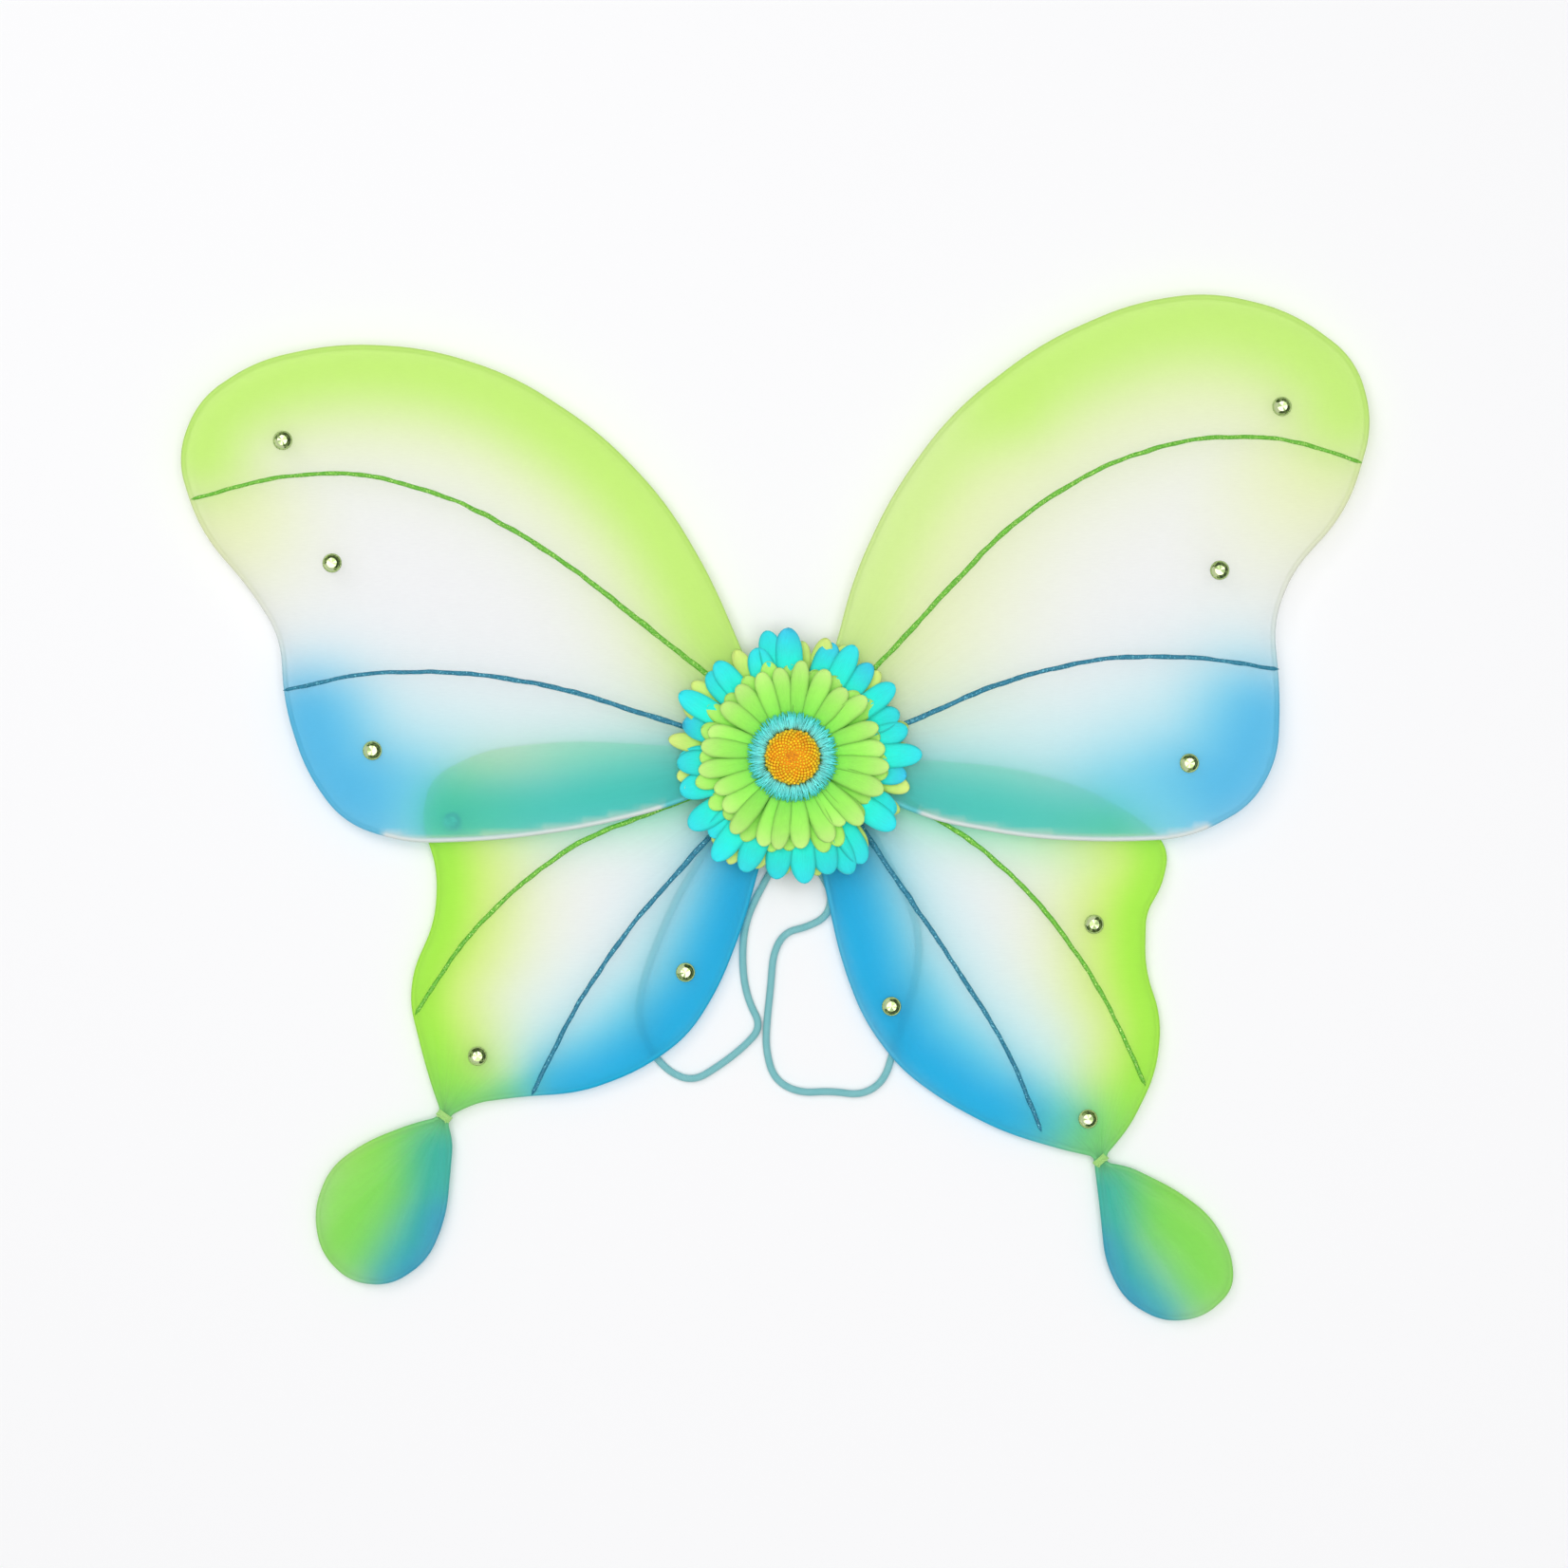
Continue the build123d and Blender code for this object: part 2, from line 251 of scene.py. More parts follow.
def mixed_shaders(tree, share, first, second):
    """Two shaders, with the second one's share."""
    inputs = {0: share, 1: first.outputs[0], 2: second.outputs[0]}
    return make(tree, "ShaderNodeMixShader", inputs)


def bump(tree, height, distance, strength=1.0):
    """A bump normal, with its height in metres per unit of height."""
    inputs = {"Height": height, "Distance": distance, "Strength": strength}
    return make(tree, "ShaderNodeBump", inputs).outputs[0]


def weave_height(tree, pitch):
    """Crossed threads, one thread every pitch."""
    place = rest_position(tree)
    waves = []
    for direction in ("X", "Y"):
        inputs = {"Vector": place, "Scale": 1 / pitch / 3.14, "Distortion": 0.4, "Detail": 1.0}
        waves.append(make(tree, "ShaderNodeTexWave", inputs, bands_direction=direction).outputs[1])
    return times(tree, waves[0], waves[1])


# ---- mesh helpers ----


def wobble(x, y, z):
    """Smooth noise from about -1 to 1."""
    return noise.noise(Vector((x, y, z)))


def add_values(piece, name, values, kind="FLOAT_COLOR", domain="POINT"):
    """One colour or vector for each point or face, as a float attribute."""
    found = piece.data.attributes.new(name, kind, domain)
    field = "color" if kind == "FLOAT_COLOR" else "vector"
    found.data.foreach_set(field, np.array(values, np.float32).ravel())


def add_piece(name, points, faces, material, smooth=True):
    """A mesh piece, with its rest position kept for its material."""
    mesh = bpy.data.meshes.new(name)
    mesh.from_pydata([tuple(p) for p in points], [], faces)
    mesh.update()
    mesh.polygons.foreach_set("use_smooth", [smooth] * len(mesh.polygons))
    mesh.materials.append(material)
    piece = add_object(name, mesh)
    add_values(piece, "rest", points, "FLOAT_VECTOR")
    return piece


def settle(piece, body, slot, *nodes):
    """The piece rides on a body and stands for CAD nodes, which are hidden.  The slot is not used."""
    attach(piece, body)
    if nodes:
        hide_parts(*nodes)


def resampled(line, step, closed=False):
    """The same line with points about step apart."""
    line = np.asarray(line, float)
    if closed:
        line = np.vstack([line, line[:1]])
    runs = np.linalg.norm(np.diff(line, axis=0), axis=1)
    keep = np.concatenate([[True], runs > 1e-9])
    line, runs = line[keep], runs[runs > 1e-9]
    along = np.concatenate([[0], np.cumsum(runs)])
    count = max(2, int(round(along[-1] / step)) + 1)
    stations = np.linspace(0, along[-1], count)
    if closed:
        stations = stations[:-1]
    return np.stack([np.interp(stations, along, axis) for axis in line.T], axis=1)


def tangents(line, closed=False):
    """Unit direction at each point."""
    if closed:
        steps = np.roll(line, -1, axis=0) - np.roll(line, 1, axis=0)
    else:
        steps = np.gradient(line, axis=0)
    return steps / np.linalg.norm(steps, axis=1, keepdims=True)


def unit(run):
    """A vector's direction."""
    return run / np.linalg.norm(run)


def level_circle(centre, radius, z, count, turn=0.0):
    """count points of a level circle, the first of them turn steps on from +X."""
    angles = [(i + turn) * TURN / count for i in range(count)]
    x, y = centre[:2]
    return [(x + radius * math.cos(a), y + radius * math.sin(a), z) for a in angles]


def left_of(direction):
    """Unit plan directions, turned a quarter anticlockwise."""
    return np.stack([-direction[:, 1], direction[:, 0]], axis=1)


def rings_to_mesh(rings, closed=False, capped=True):
    """Points and faces of a skin over rings of points, all with the same count."""
    count, size = len(rings), len(rings[0])
    points = [p for ring in rings for p in ring]
    faces = []
    for i in range(count if closed else count - 1):
        here, there = i * size, (i + 1) % count * size
        for j in range(size):
            k = (j + 1) % size
            faces.append((here + j, here + k, there + k, there + j))
    if capped and not closed:
        faces.append(tuple(reversed(range(size))))
        faces.append(tuple(range((count - 1) * size, count * size)))
    return points, faces


def tube_rings(line, radii, sides=10, closed=False):
    """Rings round a line, each kept square to it with as little twist as it can have."""
    line = np.asarray(line, float)
    along = tangents(line, closed)
    across = np.cross(along[0], (0, 0, 1))
    if np.linalg.norm(across) < 0.1:
        across = np.cross(along[0], (1, 0, 0))
    radii = np.broadcast_to(radii, len(line))
    rings = []
    for place, direction, radius in zip(line, along, radii):
        across = across - direction * across.dot(direction)
        across /= np.linalg.norm(across)
        up = np.cross(across, direction)
        angles = np.arange(sides) * TURN / sides
        rings.append(
            [place + radius * (math.cos(a) * across + math.sin(a) * up) for a in angles]
        )
    return rings


def tube(line, radii, sides=10, closed=False):
    """Points and faces of a round tube along a line."""
    return rings_to_mesh(tube_rings(line, radii, sides, closed), closed=closed)


def merged(parts):
    """Several (points, faces) as one."""
    points, faces = [], []
    for part_points, part_faces in parts:
        start = len(points)
        points.extend(part_points)
        faces.extend(tuple(start + i for i in face) for face in part_faces)
    return points, faces


def distance_to_line(points, line):
    """Shortest distance of each plan point to a line of plan points."""
    points, line = np.asarray(points, float), np.asarray(line, float)
    if len(line) == 1:
        return np.linalg.norm(points - line[0], axis=1)
    best = np.full(len(points), 1e9)
    for start, end in zip(line, line[1:]):
        run = end - start
        share = np.clip((points - start) @ run / max(run @ run, 1e-12), 0, 1)
        best = np.minimum(best, np.linalg.norm(points - start - share[:, None] * run, axis=1))
    return best


# ---- what the frame says ----

BEND_GAP = 0.3 * MM  # between the two parts of a CAD sleeve at its bend line
BINDING_AIR = 0.3 * MM  # between the binding and the rim of the nylon
RIM_STEP = 1.6 * MM


def middle_of(node):
    """Middle of a CAD node's box."""
    low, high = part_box(node)
    return (np.array(low) + np.array(high)) / 2


def half_size(node):
    """Half the width, length and height of a CAD node's box."""
    low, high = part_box(node)
    return (np.array(high) - np.array(low)) / 2


def top_outline(node):
    """Plan outline of a CAD node's flat top, anticlockwise."""
    mesh = frame["nodes"][node].data
    places = np.array([vertex.co for vertex in mesh.vertices])
    top = places[:, 2].max() - 0.01 * MM
    keys = [tuple(np.round(place[:2], 7)) for place in places]
    edges = set()
    for face in mesh.polygons:
        corners = list(face.vertices)
        if all(places[i][2] > top for i in corners):
            for a, b in zip(corners, corners[1:] + corners[:1]):
                edges.add((keys[a], keys[b]))
    onward = {a: b for a, b in edges if (b, a) not in edges}
    loops = []
    while onward:
        start, here = onward.popitem()
        loop = [start]
        while here != start:
            loop.append(here)
            here = onward.pop(here)
        loops.append(loop)
    return np.array(max(loops, key=len))


def bend_line(wing):
    """A wing's bend line: outward plan direction and distance from the origin."""
    joint = JOINTS[wing + "_bend"]
    outward = np.array([-joint["axis"][1], joint["axis"][0]])
    if outward @ joint["pos_m"][:2] < 0:
        outward = -outward
    return outward, float(outward @ joint["pos_m"][:2])


def opened_at(loop, on_cut):
    """A closed loop without its points on a cut, starting after the cut."""
    first = next(i for i in range(len(loop)) if on_cut[i] and not on_cut[(i + 1) % len(loop)])
    order = [(first + 1 + i) % len(loop) for i in range(len(loop))]
    return loop[[i for i in order if not on_cut[i]]]


def wing_outline(wing):
    """The wing's rim from the binding out and back, and the wire's middle height."""
    outward, distance = bend_line(wing)
    outer = top_outline(wing + "_sleeve")
    root = top_outline(wing + "_sleeve_root")
    near_cut = 0.6 * BEND_GAP
    outer = opened_at(outer, outer @ outward < distance + near_cut)
    root = opened_at(root, root @ outward > distance - near_cut)
    half = half_size(wing + "_sleeve")[2]
    _, binding_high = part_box("binding")
    axes = np.array(binding_high)[:2] + BINDING_AIR
    on_binding = ((root / axes) ** 2).sum(axis=1) < 1.01
    loop = np.vstack([outer, root])
    mouth = np.concatenate([np.zeros(len(outer), bool), on_binding])
    rim = resampled(opened_at(loop, mouth), RIM_STEP)
    return rim + left_of(tangents(rim)) * half, middle_of(wing + "_sleeve")[2], half


# ---- dye ----

SHEER = linear(251, 251, 252)
SPRING_GREEN = linear(216, 255, 130)
PALE_LIME = linear(245, 251, 198)
LEMON = linear(230, 255, 126)
LEAF_GREEN = linear(190, 255, 78)
SEA_GREEN = linear(72, 252, 184)
SKY_BLUE = linear(86, 204, 247)
BABY_BLUE = linear(140, 230, 252)
PALE_CYAN = linear(212, 246, 250)
AQUA = linear(84, 224, 230)
OCEAN_BLUE = linear(14, 198, 244)
RIVER_BLUE = linear(112, 226, 247)
TAIL_GREEN = linear(160, 240, 104)
TAIL_TEAL = linear(70, 204, 190)
TAIL_BLUE = linear(64, 178, 222)
NECK_TEAL = linear(70, 214, 184)
# A painted highlight: the line of light along the upper wings' lower rims, not a dye.
PAINTED_RIM_HIGHLIGHT = linear(252, 253, 252)
# Faint dyes and the painted rim highlight add no density to the nylon.
FAINT = (PALE_LIME, PALE_CYAN, PAINTED_RIM_HIGHLIGHT)

# The strokes are dye, except the white rim strokes of the upper wings, which are a painted highlight.
# Each stroke is (colour, strength, reach in mm, where), and lies over the ones before it.  Where is
# either ("rim", start, end, inset in mm), with start and end as shares of the rim from its upper end
# to its lower end, or a list of plan points in mm.
DYE = {
    "upper_left": [
        (PALE_LIME, 0.9, 40, ("rim", 0.0, 0.54, 6)),
        (SPRING_GREEN, 1.0, 22, ("rim", 0.0, 0.50, 4)),
        (PALE_CYAN, 0.75, 34, [(-195, 8), (-120, -10), (-50, -14)]),
        (BABY_BLUE, 0.9, 26, [(-194, 10), (-180, -10), (-150, -24)]),
        (SKY_BLUE, 0.95, 22, [(-203, 14), (-196, -8), (-172, -24)]),
        (BABY_BLUE, 0.85, 20, [(-150, -26), (-100, -22), (-50, -12)]),
        (AQUA, 0.9, 14, [(-142, -25), (-100, -24), (-50, -15)]),
        # painted highlight along the lower rim
        (PAINTED_RIM_HIGHLIGHT, 0.9, 1.6, ("rim", 0.79, 0.97, 0)),
    ],
    "upper_right": [
        (PALE_LIME, 0.9, 56, ("rim", 0.0, 0.52, 8)),
        (SPRING_GREEN, 0.6, 19, ("rim", 0.0, 0.22, 4)),
        (SPRING_GREEN, 0.95, 26, ("rim", 0.22, 0.49, 4)),
        (PALE_CYAN, 0.75, 34, [(184, 18), (120, -6), (60, -10)]),
        (BABY_BLUE, 0.9, 26, [(186, 14), (172, -6), (140, -20)]),
        (SKY_BLUE, 0.9, 21, [(197, 14), (188, -8), (164, -22)]),
        (BABY_BLUE, 0.85, 20, [(150, -26), (100, -24), (50, -16)]),
        (AQUA, 0.8, 14, [(128, -31), (100, -29), (50, -21)]),
        # painted highlight along the lower rim
        (PAINTED_RIM_HIGHLIGHT, 0.9, 1.6, ("rim", 0.79, 0.97, 0)),
    ],
    "lower_left": [
        (SEA_GREEN, 0.95, 27, [(-150, -11), (-124, -5), (-88, -2), (-40, 1)]),
        (PALE_LIME, 0.9, 38, ("rim", 0.16, 0.44, 6)),
        (LEMON, 0.9, 26, ("rim", 0.18, 0.44, 4)),
        (LEAF_GREEN, 1.0, 13, ("rim", 0.19, 0.435, 1)),
        (PALE_CYAN, 0.8, 28, [(-88, -120), (-58, -97), (-40, -68), (-28, -42)]),
        (NECK_TEAL, 0.85, 9, [(-133, -147), (-120, -142), (-104, -139)]),
        (RIVER_BLUE, 0.9, 19, [(-94, -135), (-72, -122), (-48, -100), (-32, -71), (-20, -44)]),
        (OCEAN_BLUE, 1.0, 16,
         [(-94, -141), (-78, -135), (-56, -121), (-36, -97), (-24, -66), (-14, -30)]),
        (TAIL_GREEN, 1.0, 30, [(-146, -154), (-180, -186), (-184, -200)]),
        (TAIL_TEAL, 1.0, 17, [(-144, -166), (-146, -186), (-162, -216)]),
        (TAIL_BLUE, 0.9, 12, [(-143, -194), (-146, -206), (-160, -221)]),
    ],
    "lower_right": [
        (SEA_GREEN, 0.95, 24, [(140, -25), (118, -17), (90, -11), (56, -6), (30, -3)]),
        (PALE_LIME, 0.9, 40, ("rim", 0.16, 0.45, 6)),
        (LEMON, 0.9, 26, ("rim", 0.18, 0.44, 4)),
        (LEAF_GREEN, 1.0, 13, ("rim", 0.19, 0.44, 1)),
        (PALE_CYAN, 0.8, 26, [(92, -128), (68, -104), (50, -74), (34, -46)]),
        (NECK_TEAL, 0.8, 8, [(126, -165), (120, -163), (114, -161)]),
        (RIVER_BLUE, 0.9, 18, [(112, -156), (84, -139), (58, -115), (39, -86), (25, -48)]),
        (OCEAN_BLUE, 1.0, 16,
         [(110, -162), (96, -155), (72, -142), (49, -123), (32, -94), (23, -63), (14, -30)]),
        (TAIL_GREEN, 1.0, 30, [(134, -172), (168, -200), (174, -214)]),
        (TAIL_TEAL, 1.0, 17, [(127, -182), (130, -204), (148, -232)]),
        (TAIL_BLUE, 0.9, 12, [(125, -206), (130, -220), (146, -236)]),
    ],
}


def stroke_line(where, rim, wing):
    """The plan points that one stroke of dye follows."""
    if where[0] != "rim":
        return np.array(where, float) * MM
    start, end, inset = where[1:]
    if wing.endswith("right"):
        start, end = 1 - end, 1 - start
    first, last = int(start * (len(rim) - 1)), int(end * (len(rim) - 1)) + 1
    return (rim + left_of(tangents(rim)) * inset * MM)[first:last:3]


def dyed(wing, points, rim):
    """The nylon's colour at plan points, dye and the painted rim highlight, each stroke over the
    last, and how much dye it holds.
    """
    colours = np.tile(np.array(SHEER[:3]), (len(points), 1))
    strongest = np.zeros(len(points))
    for colour, strength, reach, where in DYE[wing]:
        away = distance_to_line(points, stroke_line(where, rim, wing)) / (reach * MM)
        share = strength * np.exp(-(away ** 2.4))[:, None]
        colours = colours * (1 - share) + np.array(colour[:3]) * share
        if colour not in FAINT:
            strongest = np.maximum(strongest, share[:, 0])
    return np.hstack([colours, np.ones((len(points), 1))]), strongest


# ---- nylon ----

# How much light one ply stops: plain, and more where it is dyed or pleated.  GAP_FILTER is how
# strongly the dye tints the light that gets through, and PLEAT_DEPTH how much pleats add to that.
PLAIN_DENSITY = 0.31
DYE_DENSITY = 0.22
PLEAT_DENSITY = 0.5
PLEAT_DEPTH = 2.6
GAP_FILTER = 0.27
THREAD_GLOW = 0.5  # how much of the threads' light comes through them from behind
PLEAT_PITCHES = (26.0, 5.0)  # how close the pleats lie about the flower and about a neck

GRID_STEP = 3.0 * MM
FINE_STEP = 1.3 * MM  # within FINE_REACH of a neck
FINE_REACH = 72 * MM
RIM_RING_ANGLES = (60, 30, 0, -30, -60)  # from the front ply round the wire to the back ply
PLY_LIFT = 0.12 * MM  # how far the gathers push a ply out
PLY_INSET = 0.2 * MM  # how far a ply stays under the CAD sleeve's face
BACK_PLY_SHIFT = (0.37, 0.53, 0)  # in radians, so that the back ply's folds lie elsewhere
HUB_GATHER_REACH = 110 * MM
NECK_GATHER_REACH = 40 * MM


def nylon_material(name):
    """Sheer dyed stocking nylon: the gaps tint what is behind, the threads catch the light."""
    found, tree = new_material(name)
    # the dye colours, with the painted rim highlight among them
    dye = attribute(tree, "dye")
    fan_parts = make(tree, "ShaderNodeSeparateXYZ", {0: attribute(tree, "fan", "Vector")})
    pull_parts = make(tree, "ShaderNodeSeparateXYZ", {0: attribute(tree, "pull", "Vector")})
    pleats = None
    for axis, pitch in zip(("X", "Y"), PLEAT_PITCHES):
        angle = fan_parts.outputs[axis]
        line = make(tree, "ShaderNodeCombineXYZ", {"X": angle, "Y": fan_parts.outputs["Z"]})
        folds = noise_value(tree, line.outputs[0], pitch, 4.0, 0.6)
        raised = times(tree, math_node(tree, "SUBTRACT", folds, 0.5), pull_parts.outputs[axis])
        pleats = raised if pleats is None else math_node(tree, "ADD", pleats, raised)
    place = rest_position(tree)
    streaks = noise_value(tree, scaled(tree, place, (260, 2600, 260)), 1.0, 2.0)
    clouds = noise_value(tree, place, 45, 3.0)
    base_density = times_plus(tree, pull_parts.outputs["Z"], DYE_DENSITY, PLAIN_DENSITY)
    density = varied(tree, varied(tree, base_density, streaks, 0.03), clouds, 0.04)
    density = times_plus(tree, pleats, PLEAT_DENSITY, density)
    deeper = times_plus(tree, pleats, PLEAT_DEPTH, 1.0)
    filter_power = times(tree, deeper, GAP_FILTER)
    colour = make(tree, "ShaderNodeSeparateColor", {0: dye})
    powered = [math_node(tree, "POWER", colour.outputs[i], filter_power) for i in range(3)]
    tint = make(tree, "ShaderNodeCombineColor", dict(enumerate(powered)))
    gaps = make(tree, "ShaderNodeBsdfTransparent", {"Color": tint.outputs[0]})
    through = make(tree, "ShaderNodeBsdfTranslucent", {"Color": tint.outputs[0]})
    height = times_plus(tree, streaks, 0.03, times(tree, pleats, 2.4))
    inputs = {
        "Base Color": dye,
        "Roughness": 0.42,
        "Sheen Weight": 0.35,
        "Sheen Roughness": 0.4,
        "Specular IOR Level": 0.45,
        "Normal": bump(tree, height, 0.6 * MM),
    }
    face = make(tree, "ShaderNodeBsdfPrincipled", inputs)
    threads = mixed_shaders(tree, THREAD_GLOW, face, through)
    return surfaced(found, mixed_shaders(tree, density, gaps, threads))


def grid_in(loop, step, centre=None, near=None):
    """Points of a triangular grid over a loop's box, none of them nearly on the loop.

    With a centre, only those within FINE_REACH of it, or only those beyond that, as near says.
    """
    low, high = loop.min(axis=0), loop.max(axis=0)
    rows = np.arange(low[1], high[1], step * math.sqrt(0.75))
    points = []
    for index, y in enumerate(rows):
        xs = np.arange(low[0] + (index % 2) * step / 2, high[0], step)
        points.append(np.stack([xs, np.full(len(xs), y)], axis=1))
    points = np.vstack(points)
    if centre is not None:
        inside = np.linalg.norm(points - centre, axis=1) < FINE_REACH
        points = points[inside == near]
    closed = np.vstack([loop, loop[:1]])
    return points[distance_to_line(points, closed) > step * 0.6]


def neck_of(wing):
    """Middle of a lower wing's neck in plan, and the direction from the wing to its tail."""
    middle = middle_of(wing + "_tail_tie")[:2]
    tail_low, tail_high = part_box(wing + "_sleeve")
    side = tail_low.x if middle[0] < 0 else tail_high.x
    tail = np.array([(side + middle[0]) / 2, (tail_low.y + middle[1]) / 2])
    return middle, unit(tail - middle)


def plan_mesh(rim, inner):
    """Triangles over a rim and the points in it: plan points, faces, and each rim point's number."""
    count = len(rim)
    edges = [(i, (i + 1) % count) for i in range(count)]
    places = [Vector(p) for p in np.vstack([rim, inner])]
    found = delaunay_2d_cdt(places, edges, [], 1, 1e-7)
    at_rim = {index: new for new, old in enumerate(found[3]) for index in old if index < count}
    used = sorted({i for face in found[2] for i in face} | set(at_rim.values()))
    renumber = {old: new for new, old in enumerate(used)}
    flat = np.array([tuple(v) for v in found[0]])[used]
    faces = [tuple(renumber[i] for i in face) for face in found[2]]
    return flat, faces, [renumber[at_rim[i]] for i in range(count)]


def gathers(wing, flat, neck, heading):
    """How the nylon fans out and how hard it is pulled, about the flower and about the neck."""
    from_hub = np.linalg.norm(flat, axis=1)
    hub_pull = np.exp(-((from_hub / HUB_GATHER_REACH) ** 2) * 3)
    fan = np.zeros((len(flat), 3))
    fan[:, 0] = np.arctan2(flat[:, 1], flat[:, 0] * (1 if "right" in wing else -1))
    fan[:, 2] = from_hub
    neck_pull = np.zeros(len(flat))
    if neck is not None:
        away = flat - neck
        side = away @ np.array([-heading[1], heading[0]])
        along = away @ heading
        fan[:, 1] = np.arctan2(side, np.abs(along)) + np.where(along > 0, 4.0, 0.0)
        reach = np.where(along > 0, 1.9, 0.8) * NECK_GATHER_REACH
        neck_pull = np.exp(-((np.linalg.norm(away, axis=1) / reach) ** 2))
    return fan, hub_pull, neck_pull


def gather_lift(flat, fan, hub_pull, neck_pull, rim):
    """How far the gathers lift each point of a ply, less and less towards the rim."""
    lift = []
    for place, way, hub_share, neck_share in zip(flat, fan, hub_pull, neck_pull):
        soft = wobble(place[0] * 30, place[1] * 30, 3.1)
        fold = wobble(way[0] * 26, 0.5, 1.7) * hub_share
        pinch = wobble(way[1] * 9, 7.5, 2.2) * neck_share
        lift.append(0.6 * soft + 1.2 * fold + 4.0 * pinch)
    from_rim = distance_to_line(flat, np.vstack([rim, rim[:1]]))
    return np.array(lift) * np.clip(from_rim / (6 * MM), 0, 1) * PLY_LIFT


def add_nylon(wing, material):
    """Both plies of a wing's nylon as one closed skin round the wire.  Gives its rim and height."""
    rim, height, half = wing_outline(wing)
    ply = half - PLY_INSET
    count = len(rim)
    if wing.startswith("lower"):
        neck, heading = neck_of(wing)
        coarse = grid_in(rim, GRID_STEP, neck, False)
        inner = np.vstack([coarse, grid_in(rim, FINE_STEP, neck, True)])
    else:
        neck, heading = None, None
        inner = grid_in(rim, GRID_STEP)
    flat, faces, at_rim = plan_mesh(rim, inner)
    fan, hub_pull, neck_pull = gathers(wing, flat, neck, heading)
    lift = gather_lift(flat, fan, hub_pull, neck_pull, rim)
    upper = np.column_stack([flat, height + ply + np.minimum(lift, 0.9 * PLY_LIFT)])
    lower = np.column_stack([flat, height - ply + np.maximum(lift, -0.9 * PLY_LIFT)])

    points = list(upper) + list(lower)
    start = len(flat)
    all_faces = faces + [tuple(start + i for i in reversed(face)) for face in faces]
    outward = -left_of(tangents(rim, closed=True))
    rings = [at_rim]
    for angle in RIM_RING_ANGLES:
        rings.append(range(len(points), len(points) + count))
        out, up = ply * math.cos(math.radians(angle)), ply * math.sin(math.radians(angle))
        points += [(*(spot + away * out), height + up) for spot, away in zip(rim, outward)]
    rings.append([start + i for i in at_rim])
    for above, below in zip(rings, rings[1:]):
        for i in range(count):
            j = (i + 1) % count
            all_faces.append((above[i], below[i], below[j], above[j]))

    piece = add_piece(wing + "_nylon", points, all_faces, material)
    round_rim = at_rim * len(RIM_RING_ANGLES)
    colours, strength = dyed(wing, flat, rim)
    # the dye attribute also carries the painted rim highlight
    add_values(piece, "dye", np.vstack([colours, colours, colours[round_rim]]))
    fans = np.vstack([fan, fan + BACK_PLY_SHIFT, fan[round_rim]])
    add_values(piece, "fan", fans, "FLOAT_VECTOR")
    pulls = np.column_stack([hub_pull * 0.35, neck_pull, strength])
    pulls = np.vstack([pulls, pulls, pulls[round_rim] * (0.3, 0.3, 1)])
    add_values(piece, "pull", pulls, "FLOAT_VECTOR")
    fold_over_bend(piece, wing, "nylon", wing + "_sleeve", wing + "_sleeve_root")
    return rim, height


def fold_over_bend(piece, wing, slot, *nodes):
    """The piece's placement is baked into its mesh and the CAD nodes it stands for are hidden.  The
    wing and the slot are not used.
    """
    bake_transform(piece)
    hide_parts(*nodes)


# ---- wires ----


def wire_material():
    """Pale coated wire with faint scuffs, tinted along its length by the dye and, on the upper wings'
    lower rims, by the painted highlight.
    """
    found, tree = new_material("coated_wire")
    place = rest_position(tree)
    scuffs = noise_value(tree, place, 900, 4.0)
    coat = mixed(tree, scuffs, linear(204, 210, 194), linear(238, 240, 230))
    stained = mixed(tree, 0.6, coat, scaled(tree, attribute(tree, "dye"), (0.8, 0.8, 0.8)))
    return principled(found, {
        "Base Color": stained,
        "Roughness": spread_range(tree, scuffs, 0.3, 0.7, 0.28, 0.45),
        "Coat Weight": 0.3,
        "Normal": bump(tree, scuffs, 0.05 * MM),
    })


def add_wire(wing, rim, height, material):
    """The wire loop, in one piece from the binding round the rim and back."""
    line = np.column_stack([rim, np.full(len(rim), height)])
    points, faces = tube(line, half_size(wing + "_wire")[2])
    piece = add_piece(wing + "_wire_loop", points, faces, material)
    # the wire takes the dye colours and the painted rim highlight
    colours, _ = dyed(wing, rim, rim)
    add_values(piece, "dye", np.repeat(colours, len(points) // len(rim), axis=0))
    fold_over_bend(piece, wing, "wire", wing + "_wire", wing + "_wire_root")


# ---- glitter veins ----

VEIN_INNER = 33 * MM  # how near to the flower's middle a vein goes on, straight, under the petals
VEIN_STEP = 1.0 * MM
VEIN_REACH = 4.4 * MM  # how far the bead runs on past the CAD vein, onto the rim
VEIN_HALF = 1.15 * MM  # at the hub; it thins towards the rim
# Each vein's glue and flake colours, and the pale colour painted on a few flakes as their glint.
VEIN_COLOURS = {
    "green": (linear(84, 182, 34), linear(136, 210, 74), linear(196, 238, 128)),
    "blue": (linear(18, 110, 140), linear(52, 148, 178), linear(116, 200, 216)),
}


def glitter_material(name, glue, flake, painted_glint):
    """Tinted glitter glue: small flakes, each with its own tilt, in a clear bead, and a few flakes
    painted pale as their glint.
    """
    found, tree = new_material(name)
    place = rest_position(tree)
    cells = make(tree, "ShaderNodeTexVoronoi", {"Vector": place, "Scale": 2600.0})
    shade = make(tree, "ShaderNodeSeparateColor", {0: cells.outputs["Color"]})
    flakes = mixed(tree, shade.outputs[0], glue, flake)
    # a few flakes painted pale: a painted glint
    bright = math_node(tree, "GREATER_THAN", shade.outputs[1], 0.92)
    colour = mixed(tree, bright, flakes, painted_glint)
    tilt = times(tree, shade.outputs[2], cells.outputs["Distance"])
    return principled(found, {
        "Base Color": colour,
        "Metallic": spread_range(tree, shade.outputs[1], 0.4, 0.8, 0.0, 0.5),
        "Roughness": spread_range(tree, shade.outputs[0], 0, 1, 0.3, 0.6),
        "Coat Weight": 0.06,
        "Normal": bump(tree, tilt, 0.25 * MM),
    })


